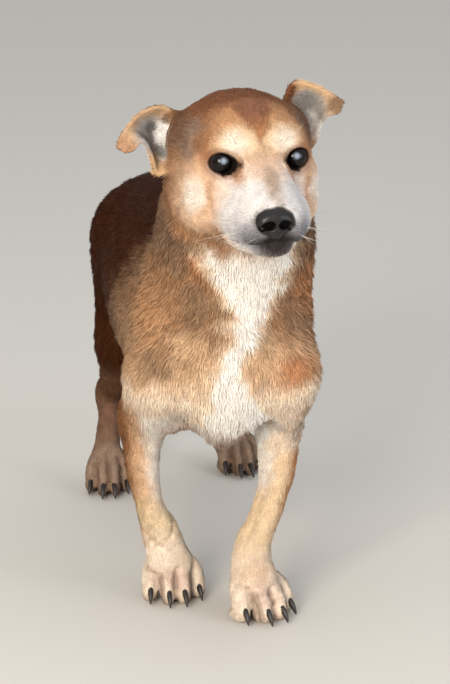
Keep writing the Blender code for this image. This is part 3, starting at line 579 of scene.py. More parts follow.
def markings(p, normals):
    """Linear colours at world points, painted over each other from the back to the nose."""
    wander = np.stack([ripple(p, 0.011, 1), ripple(p, 0.011, 2), ripple(p, 0.011, 3)], 1)
    shake = np.stack([ripple(p, 0.0035, 4), ripple(p, 0.0035, 5), ripple(p, 0.0035, 6)], 1)
    b = local(BODY, p) + wander * 0.0030 + shake * 0.0008
    h = local(HEAD, p) + wander * 0.0008 + shake * 0.0004
    # the body's own dark red-brown, made darker still with painted shade
    colour = np.tile(linear("#3d1c07"), (len(p), 1))

    def paint(hex_colour, mask, strength=1.0):
        """Mixes a colour in: the old one times one less the mask, plus the new one times it."""
        nonlocal colour
        m = np.clip(mask * strength, 0, 1)[:, None]
        colour = colour * (1 - m) + linear(hex_colour) * m

    x, y, z = b.T
    slant = (np.minimum(z, 0.265) - 0.235) * 0.5
    front = ease(y + slant + wander[:, 0] * 0.008 + shake[:, 0] * 0.005, 0.010, -0.110)
    # trunk: darker along the spine, partly the coat and partly painted shade on the back; warmer down the
    # flank, pinkish under the belly
    paint("#331607", ease(z, 0.265, 0.300) * ease(y, -0.09, -0.03), 0.8)
    paint("#452712", ease(z, 0.205, 0.165), 0.7)
    paint("#b99683", ease(z, 0.160, 0.146) * ease(np.abs(x), 0.045, 0.025) * ease(y, -0.08, -0.04)
          * ease(y, 0.13, 0.10), 0.8)
    # hind legs
    paint("#6e4a32", ease(z, 0.150, 0.120) * ease(y, 0.05, 0.10))
    paint("#866654", ease(z, 0.100, 0.075) * ease(y, 0.05, 0.10), 0.85)
    paint("#a78f7b", ease(z, 0.060, 0.020) * ease(y, 0.05, 0.10), 0.9)
    # neck and shoulders
    paint("#80644f", front * ease(z, 0.19, 0.22))
    paint("#ad825f", front * ease(z, 0.308, 0.280) * ease(z, 0.215, 0.24), 0.85)
    paint("#bd9674", front * ease(z, 0.250, 0.215))
    paint("#d6b08c", ease(y, -0.140, -0.168) * ease(z, 0.242, 0.205))
    paint("#f8e3cb", ease(y, -0.085, -0.135) * ease(z, 0.211, 0.180))
    for hex_colour, patch_x, patch_z, wide, tall in CHEST_PATCHES:
        d = np.sqrt(((x - patch_x) / wide) ** 2 + ((z - patch_z) / tall) ** 2)
        paint(hex_colour, ease(d, 1.6, 0.4) * ease(y, -0.095, -0.125), 0.8)
    # forelegs: cream in front and inside, orange-tan outside and behind
    low = ease(z, 0.185, 0.160) * ease(y, -0.03, -0.06)
    paint("#b0825c", low)
    calm_x, calm_y, calm_z = local(BODY, p).T
    right, left = (np.array(rows)[::-1].T for rows in FOREARMS)
    centre_x = np.where(x < 0, np.interp(z, right[2], right[0]), np.interp(z, left[2], left[0]))
    centre_y = np.where(x < 0, np.interp(z, right[2], right[1]), np.interp(z, left[2], left[1]))
    inner = -(calm_y - centre_y) * 0.35 - np.sign(x) * (calm_x - centre_x) * 0.95
    inner = inner + shake[:, 0] * 0.0008 + wander[:, 0] * 0.0006
    right_leg, left_leg = low * (x < 0), low * (x > 0)
    paint("#d6b08e", right_leg * ease(inner, -0.011, 0.005))
    paint("#fbefe2", right_leg * ease(inner, 0.002, 0.014))
    paint("#835838", right_leg * ease(inner, -0.004, -0.012) * ease(calm_z, 0.060, 0.095), 0.9)
    paint("#e8cfa9", right_leg * ease(calm_z, 0.105, 0.068) * ease(inner, -0.014, -0.006), 0.9)
    paint("#c68d61", left_leg * ease(calm_z, 0.060, 0.085))
    paint("#e8caa6", left_leg * ease(inner, -0.008, 0.004))
    paint("#f1e6da", left_leg * ease(inner, 0.009, 0.014) * ease(calm_z, 0.095, 0.110))
    paint("#e8cda9", left_leg * ease(calm_z, 0.105, 0.068) * ease(inner, -0.016, -0.010), 0.9)
    paint("#e6d4c3", left_leg * ease(calm_z, 0.128, 0.140), 0.7)
    paint("#f3dfc9", ease(z, 0.074, 0.042) * ease(y, -0.03, -0.06))
    # painted shade along the fold of the right wrist
    paint("#a88d72", ease(path_distance(local(BODY, p), np.array(WRIST_FOLD)), 0.0040, 0.0008), 0.45)
    paint("#debfa1", oval(b, (0.0195, -0.173, 0.041), (0.012, 0.020, 0.011), 0.7, mirror=False), 0.8)
    for side_x, toes_y in ((-0.0440, -0.127), (0.0270, -0.183)):
        paint("#cdae9f", oval(b, (side_x, toes_y, 0.026), (0.013, 0.016, 0.008), 0.7, mirror=False), 0.65)
    # darker between the toes: partly the pinkish-brown skin there, partly painted shade in the gaps
    for paw_frame, w, _ in PAWS.values():
        tx, ty, tz = local(paw_frame, p).T
        along_toes = ease(ty, 0.004, -0.006) * ease(ty, -0.034, -0.028) * ease(tz, 0.030, 0.024)
        for gap in (-1, 0, 1):
            paint("#6e4a3a", ease(np.abs(tx - gap * 0.0125 * w), 0.0030, 0.0008) * along_toes, 0.5)
    # the white of throat and chest
    heights, middles, halves = spline(BLAZE, 4).T
    cx, hw = np.interp(z, heights, middles), np.interp(z, heights, halves)
    reach = ease(y, -0.095, -0.135) * ease(z, 0.118, 0.135) * ease(z, 0.345, 0.325)
    paint("#f3d9ba", ease(np.abs(x - cx), hw + 0.010, hw - 0.001) * reach, 0.8)
    paint("#faf3e9", ease(np.abs(x - cx), hw + 0.003, hw - 0.004) * reach)
    # painted shade on the underside behind the front legs, pinkish brown wherever the skin faces down
    paint("#8d6a5a", ease(-normals[:, 2], 0.45, 0.85) * ease(z, 0.168, 0.158) * ease(z, 0.115, 0.125)
          * ease(np.abs(x), 0.050, 0.036), 0.85)

    # head
    hx, hy, hz = h.T
    ax = np.abs(hx)
    neck_line = ease(z - y, 0.460, 0.476)
    on_head = np.where(hy < -0.03, ease(hz, -0.085, -0.068), neck_line)
    paint("#a87b58", on_head)
    paint("#856247", on_head * ease(hy, 0.0, 0.025))
    paint("#8f7a6c", on_head * oval(h, (0.044, -0.012, 0.016), (0.014, 0.026, 0.020)), 0.9)
    paint("#a98264", on_head * oval(h, (0.052, -0.006, -0.012), (0.010, 0.026, 0.018)), 0.9)
    paint("#c09070", on_head * oval(h, (0.052, -0.012, -0.036), (0.008, 0.018, 0.014)), 0.8)
    paint("#a27353", on_head * oval(h, (0.040, -0.034, 0.014), (0.008, 0.013, 0.012)), 0.8)
    paint("#c6906a", on_head * oval(h, (0.0425, -0.0400, 0.0015), (0.0050, 0.012, 0.0060)), 0.8)
    paint("#835439", on_head * ease(hz, 0.020, 0.036) * ease(hy, -0.042, -0.026))
    paint("#6a4936", on_head * oval(h, (0.047, 0.000, 0.020), (0.009, 0.014, 0.022), 0.6), 0.8)
    # brows either side of the brown wedge that runs down between the eyes
    paint("#cf9c72", oval(h, (0.0180, -0.040, 0.0260), (0.0130, 0.024, 0.0145), 0.55))
    paint("#eccdaa", oval(h, (0.0150, -0.0520, 0.0160), (0.0165, 0.016, 0.0120), 0.55))
    paint("#f3e6d5", oval(h, (0.0185, -0.0530, 0.0165), (0.0085, 0.014, 0.0080), 0.70), 0.9)
    wedge = ease(ax, 0.0052 + 0.75 * (hz - 0.021), 0.0008 + 0.50 * (hz - 0.021))
    paint("#b17a50", wedge * ease(hz, 0.009, 0.019) * ease(hy, -0.015, -0.025), 0.9)
    paint("#956650", wedge * ease(hz, 0.023, 0.035) * ease(hy, -0.015, -0.025), 0.85)
    # cheeks, and the pale face below the eyes
    paint("#e6c2a2", on_head * oval(h, (0.041, -0.030, -0.028), (0.018, 0.030, 0.028), 0.4))
    paint("#f4e8dc", oval(h, (0.046, -0.036, -0.023), (0.008, 0.013, 0.012), 0.6), 0.9)
    paint("#edd6c6", on_head * ease(hy, -0.044, -0.054) * ease(hz, 0.008, 0.000))
    paint("#d9af8e", oval(h, (0.017, -0.058, -0.008), (0.005, 0.008, 0.012), 0.5), 0.6)
    paint("#d5b39b", oval(h, (0.0225, -0.0700, -0.0125), (0.0018, 0.009, 0.0095), 0.8), 0.6)
    paint("#e6e2e0", on_head * ease(hy, -0.052, -0.072) * ease(hz, 0.000, -0.012), 0.95)
    paint("#e2c2a7", oval(h, (0.0, -0.068, 0.002), (0.0125, 0.018, 0.010), 0.6), 0.8)
    paint("#b39a86", oval(h, (0.0, -0.085, -0.009), (0.0055, 0.018, 0.016), 0.7), 0.85)
    paint("#c8976f", on_head * ease(hy, -0.052, -0.030) * ease(hz, -0.048, -0.060)
          * ease(ax, 0.022, 0.034), 0.5)
    paint("#f4ead9", on_head * ease(hz, -0.056, -0.062) * ease(hy, -0.020, -0.035) * ease(ax, 0.034, 0.024))
    paint("#bd8c68", oval(h, (0.0190, -0.0640, -0.0045), (0.0035, 0.010, 0.0085), 0.6), 0.8)
    paint("#c99c7b", oval(h, (0.0365, -0.0500, -0.0220), (0.0026, 0.013, 0.0160), 0.8), 0.7)
    # painted blue-grey shade on the sides of the muzzle; dark lips, chin and nose rim
    paint("#a3a5ac", oval(h, (0.018, -0.086, -0.042), (0.014, 0.022, 0.014), 0.6), 0.6)
    paint("#74747c", oval(h, (0.014, -0.096, -0.044), (0.015, 0.013, 0.011), 0.5), 0.85)
    paint("#5a585d", oval(h, (0.0100, -0.0950, -0.0540), (0.0145, 0.014, 0.0100), 0.5), 0.7)
    paint("#383332", oval(h, (0.0, -0.1000, -0.0505), (0.0155, 0.016, 0.0110), 0.35))
    paint("#3a3635", oval(h, NOSE_CENTRE, (0.0148, 0.020, 0.0118), 0.08))
    # painted shade: the skin under the nose pad is near black, as it shows inside the nostrils
    paint("#070606", oval(h, NOSE_CENTRE, (0.0115, 0.020, 0.0095), 0.08))
    # eye rims and the dark corner toward the nose
    calm = local(HEAD, p)
    calm[:, 0] = np.abs(calm[:, 0])
    turned = np.array(Euler([math.radians(a) for a in LID_TURN]).to_matrix())
    slit = np.linalg.norm(((calm - LID_SLIT_AT) @ turned) / LID_SLIT, axis=1)
    paint("#8a6248", ease(slit, 1.42, 1.15) * ease(hy, -0.040, -0.044), 0.6)
    slit = slit - 0.22 * (ease(calm[:, 1], -0.0560, -0.0525) * ease(calm[:, 0], 0.031, 0.027)
                          * ease(np.abs(calm[:, 2] + 0.001), 0.0075, 0.0050))
    paint("#1a1311", ease(slit, 1.06, 0.99) * ease(hy, -0.038, -0.042))
    paint("#33241d", oval(h, (0.0168, -0.0585, 0.0018), (0.0034, 0.006, 0.0021), 0.5), 0.9)
    # ears: brown behind, and grey inside with white hair, pale rims and tan tips
    flap = ease(ax, 0.047, 0.052) * ease(hy, 0.050, 0.042) * ease(hz, -0.026, -0.020)
    flap *= np.maximum(ease(hy, 0.006, 0.014), ease(ax, 0.056, 0.060))
    inside = ease(-(normals @ np.array(HEAD.to_3x3())[:, 1]), -0.15, 0.20) * flap
    paint("#865b3f", flap)
    paint("#d8b48f", inside)
    for s, spots in ((-1, INSIDE_RIGHT_EAR), (1, INSIDE_LEFT_EAR)):
        one = inside * (hx * s > 0)
        for hex_colour, spot_x, spot_z, wide, tall, strength in spots:
            d = np.sqrt(((ax - spot_x) / wide) ** 2 + ((hz - spot_z) / tall) ** 2)
            paint(hex_colour, one * ease(d, 1.35, 0.65), strength)
    return colour


skin_colour = markings(skin_points, skin_normals)


def add_node(tree, kind, links=(), **settings):
    """Adds a node: settings go to its own values, or to the input of that name; links are
    (output socket, input name)."""
    node = tree.nodes.new(kind)
    for key, value in settings.items():
        name = key.replace("_", " ")
        if hasattr(node, key):
            setattr(node, key, value)
        else:
            node.inputs[name].default_value = value
    for output, name in links:
        tree.links.new(output, node.inputs[name])
    return node


def new_material(name, **values):
    """A material, its tree and its shader, with the shader's inputs of those names set."""
    material = bpy.data.materials.new(name)
    material.use_nodes = True
    shader = material.node_tree.nodes["Principled BSDF"]
    for key, value in values.items():
        shader.inputs[key.replace("_", " ")].default_value = value
    return material, material.node_tree, shader


def fur_material(name, bump):
    """Short dog hair: soft and dry, with hardly any shine."""
    material, tree, shader = new_material(name, Roughness=0.60, Specular_IOR_Level=0.05)
    coords = add_node(tree, "ShaderNodeTexCoord")
    coat = add_node(tree, "ShaderNodeAttribute", attribute_name="coat")
    hairs = add_node(tree, "ShaderNodeTexNoise", [(coords.outputs["Object"], "Vector")],
                     Scale=700.0, Detail=3.0, Roughness=0.6)
    shade = add_node(tree, "ShaderNodeMapRange", [(hairs.outputs["Fac"], "Value")],
                     From_Min=0.3, From_Max=0.7, To_Min=0.82, To_Max=1.14)
    tint = add_node(tree, "ShaderNodeVectorMath", [(coat.outputs["Color"], 0), (shade.outputs["Result"], 1)],
                    operation="MULTIPLY")
    tree.links.new(tint.outputs["Vector"], shader.inputs["Base Color"])
    if bump:
        relief = add_node(tree, "ShaderNodeBump", [(hairs.outputs["Fac"], "Height")],
                          Strength=bump, Distance=0.0006)
        tree.links.new(relief.outputs["Normal"], shader.inputs["Normal"])
    return material


def set_colour(obj, colour):
    """Stores linear colours on the points, as the attribute that the fur materials read."""
    rgba = np.ones((len(colour), 4), np.float32)
    rgba[:, :3] = np.clip(colour, 0, 1)
    obj.data.attributes.new("coat", "FLOAT_COLOR", "POINT").data.foreach_set("color", rgba.ravel())


set_colour(skin, skin_colour * 0.9)
skin.data.materials.append(fur_material("underfur_short_hair", 0.5))
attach(skin, "root")
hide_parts(*[n for n in frame["nodes"] if not n.startswith(("eye_", "claw_", "nose"))])


# ---------------------------------------------------------------- lie of the coat
# Which way the hair lies, how long it is and how far it stands out, at places over the body.
# A tuft takes the mean of the places round it, each weighed by its closeness.

LIE = [
    # piece, frame, both sides, place, way, length in mm, lift in degrees
    ("face", HEAD, False, (0, -0.088, -0.012), (0, 1, 0.45), 2.8, 9),
    ("face", HEAD, False, (0, -0.066, 0.002), (0, 1, 0.75), 3.2, 9),
    ("face", HEAD, False, (0, -0.050, 0.018), (0, 0.8, 1.0), 3.8, 10),
    ("face", HEAD, True, (0.014, -0.094, -0.040), (0.9, 1, -0.25), 2.8, 12),
    ("face", HEAD, True, (0.024, -0.077, -0.035), (0.45, 1, -0.40), 3.6, 12),
    ("face", HEAD, True, (0.020, -0.064, -0.008), (0.40, 1, 0.10), 3.2, 10),
    ("face", HEAD, True, (0.034, -0.050, -0.018), (0.45, 1, -0.25), 3.8, 11),
    ("face", HEAD, True, (0.015, -0.056, 0.008), (0.25, 0.4, 1.0), 3.0, 11),
    ("face", HEAD, True, (0.017, -0.050, 0.018), (0.40, 0.5, 1.0), 4.0, 13),
    ("face", HEAD, True, (0.030, -0.046, 0.020), (0.80, 0.6, 0.7), 3.8, 13),
    ("face", HEAD, True, (0.042, -0.035, 0.006), (0.60, 1, 0.10), 3.6, 11),
    ("face", HEAD, False, (0, -0.090, -0.060), (0, 1, -0.5), 3.4, 14),
    ("head", HEAD, False, (0, -0.028, 0.037), (0, 1, 0.5), 4.8, 11),
    ("head", HEAD, False, (0, 0.005, 0.046), (0, 1, -0.1), 5.5, 11),
    ("head", HEAD, False, (0, 0.040, 0.030), (0, 0.8, -1.0), 7.0, 13),
    ("head", HEAD, True, (0.036, -0.015, 0.032), (0.5, 1, 0.3), 5.5, 12),
    ("head", HEAD, True, (0.047, -0.018, 0.000), (0.3, 1, -0.3), 5.5, 13),
    ("head", HEAD, True, (0.050, -0.030, -0.025), (0.35, 1, -0.5), 5.5, 14),
    ("head", HEAD, True, (0.052, -0.005, -0.040), (0.2, 0.7, -0.9), 7.5, 17),
    ("head", HEAD, True, (0.040, -0.010, -0.060), (0.1, 0.6, -1.0), 8.0, 17),
    ("head", HEAD, True, (0.028, -0.050, -0.058), (0.3, 1, -0.4), 5.0, 14),
    ("head", HEAD, False, (0, -0.045, -0.068), (0, 1, -0.3), 6.0, 14),
    ("ears", HEAD, True, (0.048, 0.012, 0.015), (1, 0.2, 0.1), 4.0, 12),
    ("ears", HEAD, True, (0.066, 0.012, 0.014), (1, -0.1, 0.15), 3.4, 10),
    ("ears", HEAD, True, (0.088, 0.003, 0.010), (1, -0.2, -0.3), 2.6, 8),
    ("neck", HEAD, False, (0, -0.010, -0.080), (0, 0.4, -1.0), 10.0, 12),
    ("neck", BODY, False, (0.012, -0.168, 0.285), (0, 0, -1), 11.0, 12),
    ("neck", BODY, False, (-0.046, -0.125, 0.300), (-0.1, 0.25, -1), 11.0, 15),
    ("neck", BODY, False, (0.069, -0.128, 0.295), (0.1, 0.25, -1), 11.0, 15),
    ("neck", BODY, False, (0.008, -0.065, 0.330), (0, 0.8, -0.7), 11.0, 13),
    ("chest", BODY, False, (0, -0.180, 0.235), (0, -0.1, -1), 10.0, 12),
    ("chest", BODY, False, (0, -0.185, 0.200), (0, 0, -1), 10.0, 12),
    ("chest", BODY, False, (0, -0.165, 0.148), (0, 0.7, -1), 10.0, 16),
    ("chest", BODY, True, (0.055, -0.155, 0.230), (0.15, 0.35, -1), 10.0, 13),
    ("chest", BODY, True, (0.066, -0.110, 0.215), (0.1, 0.7, -0.9), 10.0, 12),
    ("chest", BODY, False, (0, -0.060, 0.300), (0, 1, -0.35), 11.0, 12),
    ("chest", BODY, True, (0.062, -0.050, 0.260), (0.1, 1, -0.6), 10.0, 12),
    ("chest", BODY, False, (0, -0.080, 0.140), (0, 1, 0), 9.0, 13),
    ("back", BODY, False, (0, 0.020, 0.298), (0, 1, 0), 10.0, 11),
    ("back", BODY, True, (0.074, 0.020, 0.225), (0, 1, -0.45), 10.0, 11),
    ("back", BODY, False, (0, 0.020, 0.140), (0, 1, 0.1), 8.0, 13),
    ("rump", BODY, False, (0, 0.110, 0.300), (0, 1, -0.1), 10.0, 11),
    ("rump", BODY, True, (0.070, 0.100, 0.235), (0, 0.8, -0.8), 10.0, 11),
    ("rump", BODY, True, (0.055, 0.170, 0.200), (0, 0.4, -1), 10.0, 12),
    ("rump", BODY, False, (0, 0.195, 0.240), (0, 0.6, -1), 9.0, 14),
    ("rump", BODY, True, (0.060, 0.120, 0.165), (0, 0.35, -1), 8.5, 12),
    ("rump", BODY, False, (0.003, 0.212, 0.248), (0.1, 0.6, -1), 10.0, 13),
    ("rump", BODY, False, (0.010, 0.235, 0.190), (0.1, 0.1, -1), 10.0, 14),
    ("rump", BODY, False, (0.020, 0.250, 0.135), (0.1, 0.2, -1), 9.0, 13),
    ("forelegs", BODY, False, (-0.058, -0.125, 0.165), (0, 0.2, -1), 7.5, 12),
    ("forelegs", BODY, False, (0.047, -0.150, 0.165), (0, 0.2, -1), 7.5, 12),
    ("forelegs", BODY, False, (-0.060, -0.100, 0.110), (0, 0.05, -1), 5.5, 10),
    ("forelegs", BODY, False, (0.040, -0.140, 0.110), (0, 0.05, -1), 5.5, 10),
    ("forelegs", BODY, False, (-0.059, -0.075, 0.125), (0, 0.5, -1), 6.5, 13),
    ("forelegs", BODY, False, (0.045, -0.112, 0.125), (0, 0.5, -1), 6.5, 13),
    ("forelegs", BODY, False, (-0.050, -0.108, 0.065), (0.2, -0.05, -1), 4.6, 10),
    ("forelegs", BODY, False, (0.024, -0.157, 0.070), (-0.2, -0.05, -1), 4.6, 10),
    ("paws", BODY, False, (-0.041, -0.118, 0.032), (0, -0.6, -1), 3.4, 10),
    ("paws", BODY, False, (0.021, -0.168, 0.032), (0.15, -0.6, -1), 3.4, 10),
    ("paws", BODY, False, (-0.040, -0.130, 0.012), (0, -0.9, -0.5), 2.6, 9),
    ("paws", BODY, False, (0.028, -0.178, 0.012), (0.25, -0.9, -0.5), 2.6, 9),
    ("hindlegs", BODY, False, (-0.055, 0.142, 0.120), (0, 0.5, -1), 7.0, 12),
    ("hindlegs", BODY, False, (0.055, 0.165, 0.120), (0, 0.5, -1), 7.0, 12),
    ("hindlegs", BODY, False, (-0.057, 0.190, 0.070), (0, -0.2, -1), 5.0, 11),
    ("hindlegs", BODY, False, (0.057, 0.224, 0.070), (0, -0.2, -1), 5.0, 11),
    ("paws", BODY, False, (-0.059, 0.160, 0.025), (0, -0.8, -0.7), 3.2, 10),
    ("paws", BODY, False, (0.067, 0.195, 0.025), (0, -0.8, -0.7), 3.2, 10),
]


def lie_of_coat(p):
    """At each point: the nearest place's piece, the way, length in metres and lift."""
    total = np.zeros(len(p))
    blend = np.zeros((len(p), 5))
    nearest = np.full(len(p), 1e9)
    piece = np.zeros(len(p), int)
    names = sorted({row[0] for row in LIE})
    for name, part_frame, both, spot, way, length_mm, lift in LIE:
        for s in (1, -1) if both else (1,):
            spot_at = at(part_frame, (spot[0] * s, spot[1], spot[2]))
            turned = np.array(part_frame.to_3x3() @ Vector((way[0] * s, way[1], way[2])).normalized())
            d2 = ((p - spot_at) ** 2).sum(1)
            closer = d2 < nearest
            nearest[closer] = d2[closer]
            piece[closer] = names.index(name)
            weight = 1 / (d2 + 0.008 ** 2) ** 2
            total += weight
            blend += weight[:, None] * np.array([*turned, length_mm / 1000, math.radians(lift)])
    blend /= total[:, None]
    return names, piece, blend[:, :3], blend[:, 3], blend[:, 4]


# ---------------------------------------------------------------- coat
# Short hair in thin flat tufts, each a slim closed blade of four faces whose root is sunk in
# the skin and whose tip lies along the body. Their colours are the markings at their roots,
# with light and dark tips where the coat is sable.

COVER = (0.8, 150.0)        # layers of hair over the skin, and as many more per metre of hair
rng = np.random.default_rng(7)


def scatter():
    """Roots spread evenly over the skin: their points, normals and places on the unwrap."""
    quads = skin_quads
    c = skin_points[quads]
    area = np.linalg.norm(face_normals(skin_points, quads), axis=1) / 2
    middle = c.mean(1)
    _, _, _, length, _ = lie_of_coat(middle)
    cover = (COVER[0] + COVER[1] * length) / 1
    share = area * cover / (length * width_of(length) * 0.62)
    ends = np.cumsum(share)
    count = int(ends[-1])
    chosen = np.searchsorted(ends, (np.arange(count) + rng.random(count)) * ends[-1] / count)
    u, v = rng.random((2, count, 1))
    c = c[chosen]
    points = (c[:, 0] * (1 - u) + c[:, 1] * u) * (1 - v) + (c[:, 3] * (1 - u) + c[:, 2] * u) * v
    n = skin_normals[quads[chosen]]
    normals = (n[:, 0] * (1 - u) + n[:, 1] * u) * (1 - v) + (n[:, 3] * (1 - u) + n[:, 2] * u) * v
    t = skin_uv[chosen]
    uv = (t[:, 0] * (1 - u) + t[:, 1] * u) * (1 - v) + (t[:, 3] * (1 - u) + t[:, 2] * u) * v
    return points, normals / np.linalg.norm(normals, axis=1, keepdims=True), uv


def width_of(length):
    """A tuft's width: slimmer against its length where the hair is long."""
    return 0.00023 + 0.040 * length


def sable(p):
    """How grizzled the coat is at each point: most on neck, shoulders and temples."""
    b = local(BODY, p)
    h = local(HEAD, p)
    neck = ease(b[:, 1], 0.00, -0.10) * ease(b[:, 2], 0.185, 0.23)
    body = ease(b[:, 2], 0.13, 0.19) * ease(b[:, 1], -0.08, 0.0)
    crown = ease(np.linalg.norm(h, axis=1), 0.085, 0.06) * ease(h[:, 1], -0.055, -0.02)
    crown = crown * (0.45 + 0.35 * ease(np.abs(h[:, 0]), 0.026, 0.040) * ease(h[:, 2], -0.010, 0.004))
    return np.clip(0.15 + 0.75 * neck + 0.5 * body, 0, 1) * (1 - ease(crown, 0, 0.4)) + crown


roots, root_normals, root_uv = scatter()
piece_names, piece, way, length, lift = lie_of_coat(roots)
h = local(HEAD, roots)
h[:, 0] = np.abs(h[:, 0])
from_eye = np.linalg.norm(h - EYE_AT, axis=1)
from_nose = np.linalg.norm((local(HEAD, roots) - NOSE_CENTRE) / (0.0150, 0.0120, 0.0122), axis=1)
keep = (from_eye > 0.0127) & (from_nose > 1.0) & (roots[:, 2] > 0.0022)
roots, root_normals, root_uv, piece, way, length, lift, from_eye = (
    a[keep] for a in (roots, root_normals, root_uv, piece, way, length, lift, from_eye))
count = len(roots)

# longer, looser hair inside the ears
h = local(HEAD, roots)
in_ear = (ease(np.abs(h[:, 0]), 0.047, 0.052) * ease(h[:, 2], -0.026, -0.020) * ease(h[:, 1], 0.006, 0.014)
          * ease(-(root_normals @ np.array(HEAD.to_3x3())[:, 1]), 0.0, 0.4))
length = length * (1 + 0.8 * in_ear * ease(np.abs(h[:, 0]), 0.066, 0.054) * ease(h[:, 2], 0.030, 0.018))
lift = lift + 0.18 * in_ear * ease(h[:, 2], 0.030, 0.018)

# each tuft's own frame, combed along the body with a little waver in locks and in single hairs
length = length * rng.uniform(0.75, 1.2, count) * (0.45 + 0.55 * ease(from_eye, 0.0130, 0.0200))
width = width_of(length) * rng.uniform(0.8, 1.2, count)
lift = lift * rng.uniform(0.5, 1.5, count) * (1 + 0.35 * ripple(roots, 0.006, 11))
way = way - root_normals * (way * root_normals).sum(1, keepdims=True)
way /= np.linalg.norm(way, axis=1, keepdims=True) + 1e-9
side = np.cross(way, root_normals)
swing = 0.22 * ripple(roots, 0.007, 12) + rng.normal(0, 0.16, count)
way, side = (way * np.cos(swing)[:, None] + side * np.sin(swing)[:, None],
             side * np.cos(swing)[:, None] - way * np.sin(swing)[:, None])
roll = rng.normal(0, 0.30, count)[:, None]
flat = side * np.cos(roll) + root_normals * np.sin(roll)

along = (way * np.cos(lift)[:, None] + root_normals * np.sin(lift)[:, None])
start = roots - root_normals * 0.00025
middle = start + along * (length * 0.42)[:, None] + root_normals * (0.00012 + length * 0.045)[:, None]
tip = start + along * length[:, None]
half = (width * 0.5)[:, None]
tuft_points = np.stack([start, middle - flat * half, middle + flat * half, tip], 1)
tuft_points[..., 2] = np.maximum(tuft_points[..., 2], 0.0003)
tuft_normals = np.stack([root_normals, root_normals - flat * 0.5, root_normals + flat * 0.5,
                         root_normals + way * 0.15], 1)
tuft_normals /= np.linalg.norm(tuft_normals, axis=2, keepdims=True)

# colour: root, middle and tip, with sable bands
base = markings(roots, root_normals)
lightness = base @ (0.3, 0.6, 0.1)
grizzle = sable(roots) * ease(lightness, 0.62, 0.38)
luck = rng.random(count)
dark = ((luck < 0.30) * grizzle)[:, None] * rng.uniform(0.4, 0.9, (count, 1))
pale = ((luck > 0.72) * grizzle)[:, None] * rng.uniform(0.3, 0.8, (count, 1))
tone = np.exp(rng.normal(0, 0.08, (count, 1)) + 0.08 * ripple(roots, 0.005, 13)[:, None])
pale_tip = linear("#7d4a28") + (linear("#e6c9a4") - linear("#7d4a28")) * ease(lightness, 0.03, 0.15)[:, None]
tip_colour = base * tone
tip_colour = tip_colour * (1 - dark) + linear("#3a2416") * dark
tip_colour = tip_colour * (1 - pale) + (base * 0.4 + pale_tip * 0.6) * pale
mid_colour = base * tone * (1 - 0.5 * dark)
tuft_colour = np.stack([base * tone * 0.82, mid_colour, mid_colour, tip_colour * 1.08], 1)

TUFT_FACES = np.array([[0, 2, 1], [3, 1, 2], [0, 1, 3], [0, 3, 2]])
TUFT_PATCH = np.array([[0, -1], [-1, 0], [1, 0], [0, 1]]) * 0.0015

TUFTS_PER_PIECE = 49000     # four triangles each, so that a piece stays under 200,000
hair = fur_material("short_hair_tufts", 0)
for number, name in enumerate(piece_names):
    chosen = np.flatnonzero(piece == number)
    for part, some in enumerate(np.array_split(chosen, max(1, math.ceil(len(chosen) / TUFTS_PER_PIECE)))):
        faces = (TUFT_FACES[None] + 4 * np.arange(len(some))[:, None, None]).reshape(-1, 3)
        coat = new_mesh(f"coat_{name}_{part + 1}", tuft_points[some].reshape(-1, 3), faces)
        set_colour(coat, tuft_colour[some].reshape(-1, 3))
        patch = root_uv[some][:, None, None] + TUFT_PATCH[TUFT_FACES][None]
        layer = coat.data.uv_layers.new(name="OFBake")
        layer.uv.foreach_set("vector", patch.astype(np.float32).ravel())
        coat.data.normals_split_custom_set_from_vertices(tuft_normals[some].reshape(-1, 3))
        coat.data.materials.append(hair)
        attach(coat, "root")


# ---------------------------------------------------------------- eyes
# Two dark brown eyes, wet and glossy, with a pale spot in the pupil that is partly a clouded lens and partly
# a painted reflection. Each is a ball whose front bulges into the cornea, and it sits deep in its socket
# behind the lids.

def closed_tube(rings, start, end):
    """Points and triangles of a tube through rings of points (ring, side, xyz), which run
    anticlockwise seen from its end, closed by one point at its start and one at its end."""
    count, sides = rings.shape[:2]
    n = np.arange(count * sides).reshape(count, sides)
    turned = np.roll(n, -1, axis=1)
    a, b, c, d = n[:-1], turned[:-1], turned[1:], n[1:]
    first, last = np.full(sides, count * sides), np.full(sides, count * sides + 1)
    faces = [np.stack(f, -1).reshape(-1, 3) for f in
             ((a, b, c), (a, c, d), (turned[0], n[0], first), (n[-1], turned[-1], last))]
    return np.concatenate([rings.reshape(-1, 3), [start], [end]]), np.concatenate(faces)


def across(way):
    """Two unit vectors square to each way and to each other, the second near upright."""
    way = way / np.linalg.norm(way, axis=-1, keepdims=True)
    flat = np.cross(way, (0.0, 0.0, 1.0))
    flat /= np.linalg.norm(flat, axis=-1, keepdims=True)
    return way, flat, np.cross(flat, way)


def eyeball(side):
    """A ball in rings round the gaze: its radius plus 0.8 mm times a bell curve of the angle
    from the gaze, the cornea. Also gives each point's angle from the gaze and round it."""
    centre = at(HEAD, (EYE_AT[0] * side, EYE_AT[1], EYE_AT[2]))
    gaze = np.array(HEAD.to_3x3() @ Vector((0.08, -1, 0.03)))
    gaze, flat, up = across(gaze)
    away = math.pi * (1 - np.linspace(0, 1, 50)[1:-1, None] ** 0.8)
    turn = np.linspace(0, 2 * math.pi, 96, endpoint=False)[None]
    radius = EYE_RADIUS - 0.0005 + 0.0008 * np.exp(-(away / 0.62) ** 4)
    ring = np.cos(turn)[..., None] * up + np.sin(turn)[..., None] * flat
    points = centre + radius[..., None] * (np.cos(away)[..., None] * gaze + np.sin(away)[..., None] * ring)
    ends = [centre - gaze * (EYE_RADIUS - 0.0005), centre + gaze * (EYE_RADIUS + 0.0003)]
    away, turn = (np.broadcast_to(a, points.shape[:2]).ravel() for a in (away, turn))
    return closed_tube(points, *ends), np.append(away, (math.pi, 0)), np.append(turn, (0, 0))


